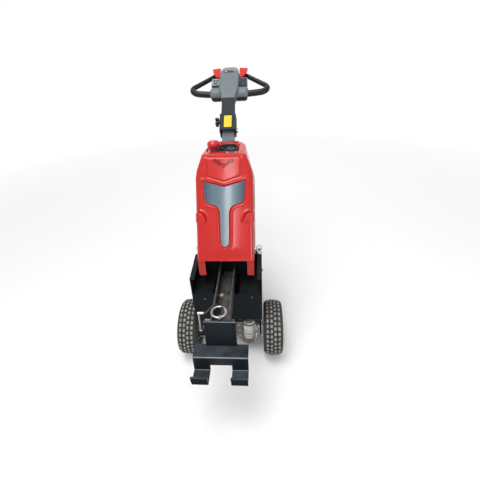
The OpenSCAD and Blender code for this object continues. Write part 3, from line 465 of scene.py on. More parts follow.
# %% Copies of CAD nodes
def place_piece(bm, name, body, materials, smooth=40, replaces=(), matrix=to_part, width=0,
                segments=2):
    """Ends a bmesh made in millimetres as a piece that rides on a body, its edges rounded by width."""
    bmesh.ops.transform(bm, matrix=matrix, verts=bm.verts)
    for face in bm.faces:
        face.smooth = True
    for edge in bm.edges:
        edge.smooth = edge.is_manifold and edge.calc_face_angle(0) < math.radians(smooth)
    mesh = bpy.data.meshes.new(name)
    bm.to_mesh(mesh)
    bm.free()
    for material in materials if isinstance(materials, list) else [materials]:
        mesh.materials.append(material)
    made = linked(name, mesh)
    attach(made, body)
    if replaces:
        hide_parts(*replaces)
    if width:
        bevel = made.modifiers.new("edge", "BEVEL")
        bevel.width = width / 1000
        bevel.segments = segments
        bevel.limit_method = "ANGLE"
        bevel.angle_limit = math.radians(30)
        bevel.harden_normals = False
    return made


def cad_copy(node):
    """A merged copy of a CAD node's mesh, with its flat faces joined."""
    bm = bmesh.new()
    bm.from_mesh(nodes[node].data)
    bmesh.ops.remove_doubles(bm, verts=bm.verts, dist=2e-6)
    bmesh.ops.dissolve_limit(bm, angle_limit=math.radians(0.8), verts=bm.verts, edges=bm.edges)
    return bm


def stand_in(node, ending, materials, smooth=40, width=0, segments=2, bm=None):
    """The piece that stands for a CAD node: a copy of it, or the changed copy in bm."""
    return place_piece(cad_copy(node) if bm is None else bm, node + ending, nodes[node]["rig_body"], materials,
                       smooth, (node,), Matrix.Identity(4), width, segments)

# %% [markdown]
# Most nodes need no more than that, each with the radius its sheet or its casting would have. The
# lifting eyes and half shafts are round already, so they stay and only take a finish.

# %% Rounded copies
for material, slot, widths in (
        (frame_black, "frame_black", {"frame_tub": 1.5, "side_plate_left": 1.6, "side_plate_right": 1.6,
                                      "axle_brackets": 1, "caster_beam": 2}),
        (panel_black, "panel_black", {"rear_casing": 2.5}), (beam_black, "beam_black", {"tow_beam": 1.5}),
        (frame_black, "beam_black", {"end_plate": 1.2}), (motor_black, "motor_black", {"motor": 2}),
        (axle_silver, "motor_black", {"brake_drum": 1.5}), (axle_silver, "axle_silver", {"axle_tube": 1}),
        (column_grey, "column_grey", {"tiller_column": 2}), (arm_grey, "arm_grey", {"tiller_arm": 1.3}),
        (handle_black, "handle_black", {"clamp_knob": 1.5}), (bright_zinc, "pin_steel", {"hinge_bolt": 0.8}),
        (head_grey, "button_grey", {"button_panels": 3}),
        (bright_zinc, "caster_steel", {"caster_fork_left": 0.7, "caster_fork_right": 0.7}),
        (stop_red, "stop_red", {"emergency_stop": 1.2}),
        (panel_black, "panel_black", {"gauge": 0.8, "instrument_bay": 0.8}),
        (bright_zinc, "pin_steel", {"t_pin": 0.8}), (panel_black, "battery_grey", {"battery": 3})):
    for node, width in widths.items():
        stand_in(node, "_rounded", material, 35, width)
for node, material in (("lifting_eye_left", eye_white), ("lifting_eye_right", eye_white),
                       ("half_shaft_left", bright_zinc), ("half_shaft_right", bright_zinc)):
    nodes[node].data.materials.clear()
    nodes[node].data.materials.append(material)

# %% [markdown]
# The hook is bent from one blank on a press brake, so the edges along its bends get a wider radius
# before the others. A rule on where a face lies and which way it looks gives the sloping bend a
# paler metallic finish as a painted highlight, and the lips a darker, duller one as painted shade.

# %% Hook
BEND_NEAR, BEND_LONG = 1.5, 15


def fold_edges(bm, folds, radius):
    """Rounds the long edges along X that run at the given y, z in millimetres."""
    chosen = []
    for edge in bm.edges:
        a, b = (to_part.inverted() @ vert.co for vert in edge.verts)
        middle = (a + b) / 2
        if abs(a.x - b.x) > BEND_LONG and any(
                math.hypot(middle.y - y, middle.z - z) < BEND_NEAR for y, z in folds):
            chosen.append(edge)
    bmesh.ops.bevel(bm, geom=chosen, offset=radius / 1000, segments=4, profile=0.5, affect="EDGES",
                    clamp_overlap=True)
    return len(chosen)


def paint_faces(made, pick):
    """Gives a face the material whose number pick returns for its middle and its normal."""
    for face in made.data.polygons:
        face.material_index = int(pick(to_part.inverted() @ face.center, face.normal))


def hook_painted_light(spot, way):
    """1 on the upright's sloping bend (painted highlight), 2 on the lips in front (painted shade), 0
    elsewhere.
    """
    if abs(spot.x) < 100.5 and way.z > 0.2 and way.y < -0.2:
        return 1
    return 2 if spot.y < -415 and way.y < -0.9 else 0


bm = cad_copy("hook")
folds = fold_edges(bm, [(-365, 381)], 6) + fold_edges(bm, [(-365, 315), (-420, 315), (-313, 505)], 3)
hook = stand_in("hook", "_folded", [hook_black, fold_painted_highlight, lip_painted_shade], 40, 1.3, bm=bm)
paint_faces(hook, hook_painted_light)
print("folded edges on the hook", folds)

# %% [markdown]
# Three more copies change a little: the gear case's bowl is crowned and grooved as the casting is,
# the back plate draws in towards its top, and the tow pin's ring is laid over by its own weight.
# Cuts along planes give the bowl the points to move, and a rule moves them.

# %% Changed copies
def cut(bm, place, normal, dist=1e-6, clear_outer=False):
    """Cuts a mesh along a plane, and can take away what lies beyond it."""
    bmesh.ops.bisect_plane(bm, geom=bm.verts[:] + bm.edges[:] + bm.faces[:], dist=dist, plane_co=place,
                           plane_no=normal, clear_outer=clear_outer)


def reshape(bm, change, frame=to_part):
    """Moves the points for which change, given the point in a frame, returns a new place."""
    for vert in bm.verts:
        moved = change(frame.inverted() @ vert.co)
        if moved is not None:
            vert.co = frame @ moved


GROOVES, GROOVE_HALF, GROOVE_DEPTH = (149.5, 204.5), 2.5, 3.5
BOWL_Y, BOWL_MIDDLE, BOWL_HALF, BOWL_CROWN = -47, 90, 32, 15
CASE_INNER, CASE_OUTER, CASE_LOW, CUT_STEP = 66, 118, 100, 6
PLATE_TOP, PLATE_NARROWED = 940, 0.72


def from_groove(spot):
    return min(abs(spot.z - z) for z in GROOVES)


def bowl(spot):
    """A point of the gear case's front, set back from the crown and sunk along the grooves."""
    if spot.y < BOWL_Y:
        spot.y += BOWL_CROWN * ((spot.x - BOWL_MIDDLE) / BOWL_HALF) ** 2
        if from_groove(spot) < 0.3:
            spot.y += GROOVE_DEPTH
        return spot


def case_dark_faces(spot, way):
    """1, the darker brown finish: in the grooves as painted shade, on the inner side and below; 0 elsewhere.
    """
    grooved = spot.y < BOWL_Y and from_groove(spot) < GROOVE_HALF + 0.1
    return grooved or spot.x < CASE_INNER or spot.z < CASE_LOW


bm = cad_copy("gear_case")
for x in range(CASE_INNER, CASE_OUTER, CUT_STEP):
    cut(bm, (x / 1000, 0, 0), (1, 0, 0))
for groove in GROOVES:
    for z in (groove - GROOVE_HALF, groove, groove + GROOVE_HALF):
        cut(bm, (0, 0, z / 1000), (0, 0, 1))
reshape(bm, bowl)
case = stand_in("gear_case", "_cast", [case_cast, case_dark_and_groove_shade], 35, 1.4, bm=bm)
paint_faces(case, case_dark_faces)

bm = cad_copy("back_plate")
reshape(bm, lambda spot: Vector((spot.x * PLATE_NARROWED, *spot.yz)) if spot.z > PLATE_TOP else None)
stand_in("back_plate", "_cut", frame_black, 35, 1, bm=bm)

RING_THICK, RING_OUTSIDE, RING_LIES = 0.0052, 0.0205, Matrix.Rotation(math.radians(-20), 4, "X")
RING_REACH, RING_Z = 28.7, 511
ring_middle = to_part @ Vector((0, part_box("tow_pin")[1].y * 1000 - axle_y * 1000 - RING_REACH, RING_Z))
bm = cad_copy("tow_pin")
for vert in bm.verts:
    flat = RING_LIES @ (vert.co - ring_middle)
    if abs(flat.z) < RING_THICK and math.hypot(flat.x, flat.y) > RING_OUTSIDE:
        vert.co = ring_middle + flat
stand_in("tow_pin", "_ring", bright_zinc, 40, 0.8, bm=bm)
print("changed copies", case.name, "and two more")

# %% [markdown]
# ## The red cover
#
# The cover is one thin moulding: flat front with soft corners, a shoulder, a top with a rolled
# edge, and a recess for the instruments. On such a form every section is a rounded rectangle, so
# the mesh starts as one grid whose columns run round the cover and whose rows climb it. Moving the
# grid's points onto the sections gives even quads, and the raised shield, the insert's recess and
# the cheek pads are pressed in by how far a point lies inside their outlines, as a mould does.

# %% Outlines on the cover
def both_ways(half):
    """An outline from its right half, listed upwards."""
    return half + [(-x, s) for x, s in reversed(half) if x > 0]


INSERT = both_ways([(0, 60), (10, 66), (17, 76), (19, 210), (27, 228), (36, 235), (70, 246), (78, 251),
                    (83, 261), (89, 337), (0, 313)])
SHIELD = both_ways([(0, 326), (75, 350), (80, 360), (80, 462)])
CHEEK = [(77, 161), (150, 161), (150, 207), (102, 207), (92, 202), (84, 191), (79, 177)]
FLANKS = [[(16, 212), (136, 220), (145, 240), (122, 306), (16, 333)],
          [(16, 40), (109, 47), (116, 131), (16, 158)]]


def inside(x, y, outline):
    """How far each point lies inside an outline; outside it counts below zero."""
    corners = np.array(outline, float)
    ahead = np.roll(corners, -1, axis=0)
    nearest = np.full(x.shape, 1e9)
    within = np.zeros(x.shape, bool)
    for (ax, ay), (bx, by) in zip(corners, ahead):
        run = np.clip(((x - ax) * (bx - ax) + (y - ay) * (by - ay)) / ((bx - ax) ** 2 + (by - ay) ** 2), 0, 1)
        nearest = np.minimum(nearest, np.hypot(x - ax - run * (bx - ax), y - ay - run * (by - ay)))
        if ay != by:
            crosses = ((ay > y) != (by > y)) & (x < (bx - ax) * (y - ay) / (by - ay) + ax)
            within ^= crosses
    return np.where(within, nearest, -nearest)


def eased(value):
    """0 to 1 with soft ends."""
    t = np.clip(value, 0, 1)
    return t * t * (3 - 2 * t)


print("insert's outline has", len(INSERT), "corners, the shield's", len(SHIELD))

# %% Sections of the cover
LEAN = math.radians(25)
COVER_TOP, TOP_ROUND, DEPTH = 973, 12, 200
WALL_TOP = COVER_TOP - TOP_ROUND
HALF_WIDTH, SHOULDER, SHOULDER_HALF, TOP_HALF, TOP_TAPER = 123, 388, 117, 98, 14
REAR_FOOT, FOOT_DEPTH = 24, 162


def slope(s, d):
    """Side view place from the distance up the front and the depth behind it."""
    return (FRONT_Y + s * math.sin(LEAN) + d * math.cos(LEAN),
            FRONT_Z + s * math.cos(LEAN) - d * math.sin(LEAN))


def up_to(z, d):
    """How far up the front a height lies, at a depth behind it."""
    return (z - FRONT_Z + d * math.sin(LEAN)) / math.cos(LEAN)


def half_width(s, d):
    """Half the cover's width: upright sides, a slight shoulder and a quick taper to the top."""
    top, top_half = up_to(WALL_TOP, d), TOP_HALF - TOP_TAPER * d / DEPTH
    return np.interp(s, [0, 352, SHOULDER], [122.2, HALF_WIDTH, SHOULDER_HALF]) + np.where(
        s > SHOULDER, (top_half - SHOULDER_HALF) * (s - SHOULDER) / (top - SHOULDER), 0)


FRONT_COLUMNS, SIDE_COLUMNS = 120, 26
ring = [("front", q) for q in np.linspace(-1, 1, FRONT_COLUMNS + 1)]
for kind, start, end, count in (
        ("front corner", 0, 90, 8), ("side", 0, 1, SIDE_COLUMNS), ("rear corner", 0, 90, 6),
        ("rear", 1, -1, 10), ("rear corner left", 90, 0, 6), ("side left", 1, 0, SIDE_COLUMNS),
        ("front corner left", 90, 0, 8)):
    ring += [(kind, start + (end - start) * (k + 1) / count) for k in range(count)]


def section(level):
    """The ring of points [x, y, z] where level runs from 0 at the cover's foot to 1 at its wall's top."""
    s_front = level * up_to(WALL_TOP, 0)
    s_rear = REAR_FOOT + level * (up_to(WALL_TOP, DEPTH) - REAR_FOOT)
    depth = np.interp(s_rear, [REAR_FOOT, 176, 203, 309], [FOOT_DEPTH, 176, 193, 199.4])
    front_r = np.interp(s_front, [SHOULDER, 433], [20, 16])
    rear_r = np.interp(s_rear, [SHOULDER, 470, 527], [4, 30, 60])
    points = []
    for kind, q in ring:
        side = -1 if kind.endswith("left") else 1
        turn = math.radians(q)
        if kind.startswith("front corner"):
            d, inset = front_r * (1 - math.cos(turn)), front_r * (1 - math.sin(turn))
        elif kind.startswith("side"):
            d, inset = front_r + (depth - front_r - rear_r) * q, 0
        elif kind.startswith("rear corner"):
            d, inset = depth - rear_r * (1 - math.sin(turn)), rear_r * (1 - math.cos(turn))
        else:
            d, inset = (0 if kind == "front" else depth), None
        s = s_front + (s_rear - s_front) * d / depth
        w = half_width(s, d)
        if kind == "front":
            x = q * (w - front_r)
        elif kind == "rear":
            x = q * (w - rear_r)
        else:
            x = side * (w - inset)
        points.append((x, *slope(s, d)))
    return np.array(points, float)


# %% [markdown]
# Above the wall the rings roll over a 12 mm edge, run in across the top and turn down into the
# instrument tray, a slot with round ends. Each ring is the one before it, moved along the outline's
# own normals or towards the tray.

# %% Rings over the top
TRAY_X, TRAY_Y, TRAY_HALF, TRAY_RUN = 10, 253.2, 44, 19


def rolled(base, angle):
    """The wall's top ring, moved in and up round the top edge."""
    ahead = np.roll(base, -1, axis=0) - np.roll(base, 1, axis=0)
    out = np.stack([ahead[:, 1], -ahead[:, 0]], 1)
    out /= np.maximum(np.linalg.norm(out, axis=1, keepdims=True), 1e-6)
    moved = base.copy()
    moved[:, :2] -= out * TOP_ROUND * (1 - math.cos(angle))
    moved[:, 2] += TOP_ROUND * math.sin(angle)
    moved[:, 1] += TOP_ROUND * math.sin(angle) * math.tan(LEAN)
    return moved


def tray_edge(base, grow=0):
    """Where a line from the tray's middle to each point meets the tray's outline."""
    x, y = base[:, 0] - TRAY_X, base[:, 1] - TRAY_Y
    length = np.hypot(x, y)
    cx, cy = np.abs(x) / length, np.abs(y) / length
    half = TRAY_HALF + grow
    straight = half / np.maximum(cx, 1e-6)
    round_end = TRAY_RUN * cy + np.sqrt(np.maximum((TRAY_RUN * cy) ** 2 + half ** 2 - TRAY_RUN ** 2, 0))
    reach = np.where(straight * cy <= TRAY_RUN, straight, round_end)
    made = base.copy()
    made[:, 0] = TRAY_X + x / length * reach
    made[:, 1] = TRAY_Y + y / length * reach
    return made


WALL_ROWS = 188
rows = [section(k / WALL_ROWS) for k in range(WALL_ROWS + 1)]
rows += [rolled(rows[WALL_ROWS], math.radians(a)) for a in (15, 30, 45, 60, 75, 90)]
rim_ring = rows[-1]
edge_ring = tray_edge(rim_ring, 2.5)
rows += [rim_ring + (edge_ring - rim_ring) * eased(k / 16) ** 0.9 for k in range(1, 17)]
TRAY_WALL = ((1.2, 0.5), (0.4, 2), (0.2, 8), (0.2, 16), (0.2, 22))
rows += [tray_edge(rim_ring, grow) - np.array([0, 0, down]) for grow, down in TRAY_WALL]
points = np.array(rows)
print("cover rings", points.shape)

# %% [markdown]
# The moulded forms come last. A point knows its place up the front and its depth, so a raised
# panel or a cheek pad lifts it along the front plane's normal, a groove sinks it, and the shallow
# deck round the emergency stop lowers it.

# %% Moulded forms
CROWN, SHIELD_RISE, SHIELD_BEAD, RECESS, RECESS_LIP = 4.0, 4.4, 2.6, 4.6, 1.8
PAD_RISE, PAD_GROOVE, PAD_BEAD, PAD_BULGE, FLANK_DEPTH = 4.6, 4, 4, 2.5, 2.6
PAD_TOP, FLANK_X, FRONT_END, FADE_Z = 163, 100, 26, 956
DECK_X, DECK_Y, DECK_WIDE, DECK_LONG, DECK_ROUND, DECK_DROP = -12, 253, 48, 42, 24, 8


def bead(distance, width):
    """1 on a line and falling away on both sides of it, as a rounded bead does."""
    return np.exp(-(distance / width) ** 2)


def crowned(x):
    """The front's crown, from nothing at its sides to the full height in the middle."""
    return CROWN * (1 - (x / HALF_WIDTH) ** 2)


def press_forms(points):
    """Presses the shield, recess, cheek pads, flank panels and deck into the grid of points."""
    x, y, z = (points[..., axis] for axis in range(3))
    s = (y - FRONT_Y) * math.sin(LEAN) + (z - FRONT_Z) * math.cos(LEAN)
    d = (y - FRONT_Y) * math.cos(LEAN) - (z - FRONT_Z) * math.sin(LEAN)
    front = eased((FRONT_END - d) / 8)
    crown = crowned(x) * eased(s / 60)
    panel = inside(x, s, SHIELD)
    raised = SHIELD_RISE * eased((panel - 8.5) / 5) + SHIELD_BEAD * bead(panel - 1.5, 3)
    slot = inside(x, s, INSERT)
    recess = -RECESS * eased((slot + 7.5) / 6)
    lip = RECESS_LIP * bead(slot + 10, 3.6)
    lift = crown + raised + recess + lip * (1 - eased(panel / 4 + 1.5))
    pad = inside(np.abs(x), s, CHEEK)
    above = eased((s - PAD_TOP) / 8)
    lift += PAD_RISE * eased((pad - 1) / 4) - PAD_GROOVE * bead(pad, 2.6) * above
    lift += PAD_BEAD * bead(pad + 7.5, 4.2) * above * (np.abs(x) < 106)
    lift *= front * (1 - eased((z - FADE_Z) / 16))
    pressed = sum(FLANK_DEPTH * eased(inside(d, s, flank) / 5) for flank in FLANKS) * (np.abs(x) > FLANK_X)
    bulge = PAD_BULGE * eased(pad / 5) * eased((60 - d) / 20) * (np.abs(x) > FLANK_X)
    out = points.copy()
    out[..., 0] -= np.sign(x) * (pressed - bulge)
    out[..., 1] -= lift * math.cos(LEAN)
    out[..., 2] += lift * math.sin(LEAN)
    off_deck = np.hypot(np.maximum(np.abs(x - DECK_X) - DECK_WIDE, 0),
                        np.maximum(np.abs(y - DECK_Y) - DECK_LONG, 0))
    out[..., 2] -= DECK_DROP * eased((DECK_ROUND - off_deck) / 7) * (z > COVER_TOP - 10)
    return out


points = press_forms(points)
bm = bmesh.new()
column_count, row_count = points.shape[1], points.shape[0]
bmesh.ops.create_grid(bm, x_segments=column_count, y_segments=row_count - 1, size=1)
bm.verts.ensure_lookup_table()
for vert in bm.verts:
    column = round((vert.co.x + 1) / 2 * column_count) % column_count
    row = round((vert.co.y + 1) / 2 * (row_count - 1))
    vert.co = points[row, column]
bmesh.ops.remove_doubles(bm, verts=bm.verts, dist=0.01)
bm.normal_update()
if sum(face.normal.y for face in bm.faces if face.calc_center_median().y < 60) > 0:
    bmesh.ops.reverse_faces(bm, faces=bm.faces)
cover = place_piece(bm, "cover_shell", "machine", cover_red, 60, ("cover",))
thickness = cover.modifiers.new("wall", "SOLIDIFY")
thickness.thickness, thickness.offset = 0.003, -1
print("cover shell", len(cover.data.polygons), "faces")

# %% [markdown]
# Below the cover's lower edge two legs reach down between the side plates, and a skirt joins each
# to the back. A copy of the CAD cover is cut along the shell's lower edge, so both meet there.

# %% Cover's legs
low_front, low_rear = Vector((0, *slope(0, 0))), Vector((0, *slope(REAR_FOOT, FOOT_DEPTH)))
along = low_rear - low_front
cut_normal = Vector((0, -along.z, along.y)).normalized()
bm = cad_copy("cover")
cut(bm, to_part @ (low_front + cut_normal * 0.6), cut_normal, clear_outer=True)
bmesh.ops.holes_fill(bm, edges=[e for e in bm.edges if e.is_boundary], sides=0)
bmesh.ops.recalc_face_normals(bm, faces=bm.faces)
legs = place_piece(bm, "cover_legs", "machine", cover_red, 35, (), Matrix.Identity(4), 1.5)
print("cover legs", len(legs.data.polygons), "faces")

# %% [markdown]
# ## The front insert
#
# A separate glossy panel, slightly crowned across, which is why its reflection is one long upright
# streak. The CAD outline is extruded from a few corner points, cut into strips and bent.

# %% Insert
def extruded(bm, step):
    """Pulls all faces out by a step, with sides between."""
    grown = bmesh.ops.extrude_face_region(bm, geom=bm.faces[:])
    bmesh.ops.translate(bm, vec=step, verts=[v for v in grown["geom"] if isinstance(v, bmesh.types.BMVert)])
    bmesh.ops.recalc_face_normals(bm, faces=bm.faces)


bm = bmesh.new()
bm.faces.new([bm.verts.new((x, s, 0)) for x, s in INSERT])
extruded(bm, (0, 0, 2.4))
for x in range(-84, 85, 6):
    cut(bm, (x, 0, 0), (1, 0, 0), 1e-5)
INSERT_CROWN, INSERT_HALF, INSERT_SUNK = 5.5, 96, 3.8
for vert in bm.verts:
    vert.co.z += INSERT_CROWN * (1 - (vert.co.x / INSERT_HALF) ** 2) - INSERT_SUNK
insert = place_piece(bm, "front_insert", "machine", insert_blue, 40,
                     ("cover_insert",), to_part @ FRONT, 0.5)
print("insert", len(insert.data.polygons), "faces")

# %% [markdown]
# ## Vents
#
# Small holes in staggered rows make a V on the shield. Each is a shallow black cup, set a hair
# proud of the plastic; a real hole each would only add weight to the mesh. A loop over the
# staggered rows keeps the cups that lie near the V's two arms. Such small fittings are each a list
# of blocks and cones, so one helper makes them.

# %% Vents
def cone(matrix, radius, depth, segments, top=None):
    """Adds a closed cone or cylinder about the middle of its axis; top is its far radius."""
    far = radius if top is None else top
    return lambda bm: bmesh.ops.create_cone(bm, cap_ends=True, segments=segments, radius1=radius,
                                            radius2=far, depth=depth, matrix=matrix)


def block(size, matrix):
    """Adds a block of a size in millimetres."""
    return lambda bm: bmesh.ops.create_cube(bm, size=1, matrix=matrix @ Matrix.Diagonal((*size, 1)))


def fitting(name, body, materials, shapes, width=0, segments=2, smooth=40, frame=to_part):
    """A piece that is a list of blocks and cones, with edges rounded by width."""
    bm = bmesh.new()
    for add in shapes:
        add(bm)
    return place_piece(bm, name, body, materials, smooth, (), frame, width, segments)


VENT_ROWS, VENT_TOP, VENT_RISE, VENT_STEP = 6, 427, 6.6, 5.1
V_TIP, V_SLOPE, V_BELOW, V_ABOVE, VENT_LIFT = 397, 0.62, -6, 13, 4.8
cups = []
for row in range(VENT_ROWS):
    s = VENT_TOP - row * VENT_RISE
    for k in range(-8, 9):
        x = k * VENT_STEP
        above_arm = s - (V_TIP + V_SLOPE * abs(x))
        if (row + k) % 2 == 1 and V_BELOW < above_arm < V_ABOVE:
            cups.append(cone(at(x, s, VENT_LIFT + crowned(x)), 3.0, 1.6, 12, 2.9))
fitting("cover_vents", "machine", vent_shadow, cups, smooth=30, frame=to_part @ FRONT)
print("vents", len(cups))

# %% [markdown]
# ## Instruments on the deck
#
# The round gauge has a dark face, a pale scale and a red needle under a raised bezel. A key switch
# stands beside it and a narrow blue strip lies on the lip in front, over a wider white film that is
# painted glare. A black block sunk in the deck beside the stop is painted shadow. All are small
# turned or flat parts, so cylinders with a few inset rings carry them.

# %% Instruments
GAUGE = Vector((23, 247.2, 971.4))
UP = Vector((0, 0, 1))


def disc(place, radius, height, segments=32, top=None):
    """A round disc or plug that stands on a place."""
    return cone(Matrix.Translation(Vector(place) + UP * (height / 2)), radius, height, segments, top)


def over_gauge(height, angle, out):
    """A place over the gauge's middle, turned from the top mark and moved out along that line."""
    return turned(GAUGE + UP * height, "Z", angle) @ at(0, out, 0)


for name, material, slot, width, segments, shapes in (
        ("gauge_face", gauge_dark, "panel_black", 0.3, 2, [disc(GAUGE, 15.5, 0.8)]),
        ("gauge_scale", eye_white, "eye_white", 0, 2,
         [block((0.9, 4.2 if k % 5 == 0 else 2.6, 0.5), over_gauge(0.9, k * 24, 12)) for k in range(-5, 6)]),
        ("gauge_needle", stop_red, "stop_red", 0, 2,
         [block((1.3, 11, 0.7), over_gauge(1.3, 38, 4.5)), disc(GAUGE + UP * 0.6, 2.6, 1.4, 20)]),
        ("key_switch", panel_black, "panel_black", 0.5, 2,
         [disc((-17, 262, 953), 9, 14, 24), disc((-17, 262, 967), 7, 4, 24, 6),
          block((2, 9, 4), turned((-17, 262, 972.5), "Z", 30))]),
        ("stop_collar", stop_red, "stop_red", 0.8, 2, [disc((-54, 251.2, 958), 20, 22, 40, 18)]),
        # Painted shadow: a black block low in the deck beside the stop stands for the shade under it.
        ("deck_slot", panel_black, "panel_black", 1.5, 3, [block((26, 12, 11), at(-49, 229, 966.5))]),
        # Painted glare: a white film, wider than the blue strip, shows at the strip's ends.
        ("lip_film", eye_white, "eye_white", 0.3, 2, [block((41, 9, 1), at(31, 178.5, 973.3))]),
        ("lip_strip", strip_blue, "insert_blue_grey", 0.4, 2, [block((30, 9.2, 1.3), at(31, 178.5, 973.4))])):
    fitting(name, "machine", material, shapes, width, segments)
print("instruments on the deck, gauge at", GAUGE[:])

# %% [markdown]
# ## The tiller's head
#
# The head is a thick soft moulding: a tongue, two barrels and cheeks that flow into each other. The
# CAD solids give the masses; remeshing a copy into even small cells and smoothing them makes the
# fillets that a mould would have. The lower rim is another moulding, in black, with a seam between.

# %% Head
def moulded(node, material, cell, passes):
    """A copy of a CAD node remeshed into cells and smoothed, as a moulding with wide fillets."""
    made = stand_in(node, "_moulded", material, 180)
    remesh = made.modifiers.new("cells", "REMESH")
    remesh.mode = "VOXEL"
    remesh.voxel_size = cell / 1000
    remesh.use_smooth_shade = True
    soften = made.modifiers.new("soften", "SMOOTH")
    soften.factor, soften.iterations = 0.5, passes


moulded("head_shell", head_grey, 2.4, 10)
moulded("head_rim", handle_black, 2.6, 6)

bm = bmesh.new()
bmesh.ops.create_circle(bm, cap_ends=True, segments=40, radius=1,
                        matrix=Matrix.Rotation(math.radians(90), 4, "X") @ Matrix.Diagonal((30, 21, 1, 1)))
cut(bm, (0, 0, 3), (0, 0, -1), 0, clear_outer=True)
extruded(bm, (0, -4.5, 0))
bmesh.ops.translate(bm, vec=(-3, -26.2, 178), verts=bm.verts)
window = place_piece(bm, "head_window", "tiller", glass_black, 40, (), to_head, 1.2, 3)
print("head's window", len(window.data.polygons), "faces")

# %% [markdown]
# ## Handles, throttles and keys
#
# Each handle is one bent bar, thick where the hand pulls and thinner at the front. A smooth path
# through the CAD loop's points and a radius at each point give it. Small keys sit on the panels
# between handle and tongue: a light plate on the left, a dark one on the right.

# %% Handles
LOOP = [(70, 70, 16), (88, 71, 16), (150, 79, 16), (174, 86, 15.5), (188, 98, 15), (192, 113, 14.5),
        (186, 128, 13.5), (172, 141, 12.5), (128, 177, 12), (86, 212, 12), (70, 225, 12)]
SIDES = ((-1, "left"), (1, "right"))
LOOP_Y, LOOP_STEPS = 16, 6
for side, name in SIDES:
    line = smooth_path([(side * x, LOOP_Y, w) for x, w, r in LOOP], LOOP_STEPS)[LOOP_STEPS:-LOOP_STEPS]
    radii = np.interp(np.linspace(1, len(LOOP) - 2, len(line)), range(len(LOOP)), [r for x, w, r in LOOP])
    grip = round_bar("handle_" + name + "_grip", [to_head @ p for p in line], radii, handle_black, 8)
    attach(grip, "tiller")
    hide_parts("handle_" + name)


WING_ROOT, WING_DRAWN, WING_DROP = 60, 9, 6


def swept(spot):
    """A point of a lever's wing, drawn in low down and dropped at the tip."""
    if abs(spot.x) > WING_ROOT:
        spot.x -= math.copysign(WING_DRAWN, spot.x) * (1 - eased((spot.z - 185) / 45))
        spot.z -= WING_DROP * eased((spot.z - 190) / 40)
        return spot


for side, name in SIDES:
    bm = cad_copy("throttle_" + name)
    reshape(bm, swept, to_head)
    stand_in("throttle_" + name, "_wing", wing_red, 40, 2.5, 3, bm)

PANEL_FRONT, KEY_MIDDLE = -14.2, -15.4
for name, material, slot, width, segments, keys in (
        ("key_plate_left", button_grey, "button_grey", 1.2, 2, [(-70.3, PANEL_FRONT, 128, 36, 3, 46)]),
        ("key_plate_right", panel_black, "panel_black", 1.2, 2, [(70.3, PANEL_FRONT, 128, 37, 3, 48)]),
        ("keys_left", panel_black, "panel_black", 1.2, 3,
         [(x, KEY_MIDDLE, w, wide, 4, high)
          for x, w, wide, high in ((-77, 136, 11, 14), (-62, 136, 11, 14), (-70, 116, 24, 11))]),
        ("keys_right", arm_grey, "button_grey", 1.0, 3,
         [(x, KEY_MIDDLE, w, 11, 4, 9) for w in (114, 128, 142) for x in (62, 78)])):
    shapes = [block(size, at(x, y, w)) for x, y, w, *size in keys]
    fitting(name, "tiller", material, shapes, width, segments, frame=to_head)
print("grips and keys placed")

# %% [markdown]
# ## Pneumatic tyres
#
# A tyre is a carcass spun from one section, with shallow sidewall rings, and a block tread on top.
# Four rows of blocks go round it, the inner two with six sides. The two rows on the right are half
# a step ahead of the other two, so the middle groove zigzags. The tops touch the floor and carry
# its dust; their sides stay black. A row's numbers are its height, lean, half sizes, the turn that
# sets its corners, its depth, how many corners it has and the scale of its top.

# %% Tyres
def spun(profile, steps):
    """A ring: a closed section of (radius, x) turned about the X axis."""
    bm = bmesh.new()
    dots = [bm.verts.new((x, 0, r)) for r, x in profile]
    lines = [bm.edges.new(pair) for pair in zip(dots, dots[1:] + dots[:1])]
    bmesh.ops.spin(bm, geom=dots + lines, cent=(0, 0, 0), axis=(1, 0, 0), angle=2 * math.pi,
                   steps=steps, use_merge=True)
    bmesh.ops.remove_doubles(bm, verts=bm.verts, dist=1e-4)
    bmesh.ops.recalc_face_normals(bm, faces=bm.faces)
    return bm


HALF_TYRE = [(61, 36), (66, 38.2), (72, 39.6), (74, 41.6), (76, 42), (78, 41.8), (84, 44), (86, 45.2),
             (89, 45.4), (91, 45), (98, 45.6), (107, 45.2), (113, 44), (118, 41.5), (121.5, 38), (123.2, 33),
             (123.8, 20), (124, 10), (124, 0)]
CARCASS = HALF_TYRE + [(r, -x) for r, x in reversed(HALF_TYRE[:-1])]
WHEEL_X, AXLE_Z, TREAD_STEPS = 205, 130, 35
TREAD = {8.5: (125.6, 0, (7.8, 10.4), 90, 8, 6, 0.96), 26: (123.2, 13, (8.8, 12.2), 45, 8.5, 4, 0.94)}
TREAD_ROWS = (-26, -8.5, 8.5, 26)
for side, name in SIDES:
    at_wheel = to_part @ at(side * WHEEL_X, 0, AXLE_Z)
    place_piece(spun(CARCASS, 72), "tyre_carcass_" + name, "wheel_" + name, tyre_rubber, 50,
                ("tyre_" + name,), at_wheel)
    blocks = []
    for k in range(TREAD_STEPS):
        for row, x in enumerate(TREAD_ROWS):
            height, lean, half, corner, depth, corners, top = TREAD[abs(x)]
            round_tyre = Matrix.Rotation(2 * math.pi * (k + (row // 2) / 2) / TREAD_STEPS, 4, "X")
            leaning = turned((x, 0, height), "Y", math.copysign(lean, x))
            blocks.append(cone(round_tyre @ leaning @ Matrix.Diagonal((*half, 1, 1))
                               @ turned((0, 0, 0), "Z", corner), 1.08, depth, corners, top))
    tread = fitting("tread_" + name, "wheel_" + name, [tyre_rubber, tread_dust], blocks, 1.0, 1, 30,
                    at_wheel)
    for face in tread.data.polygons:
        out = Vector(face.center) - at_wheel.translation
        out.x = 0
        face.material_index = int(face.normal.dot(out.normalized()) > 0.85)
print("tread blocks on a tyre", len(blocks))

# %% [markdown]
# ## Alloy rims
#
# The rim is a casting painted black whose outer faces were machined bright afterwards. So one copy
# carries both finishes: a face that looks straight out of the wheel is bright, all others black.

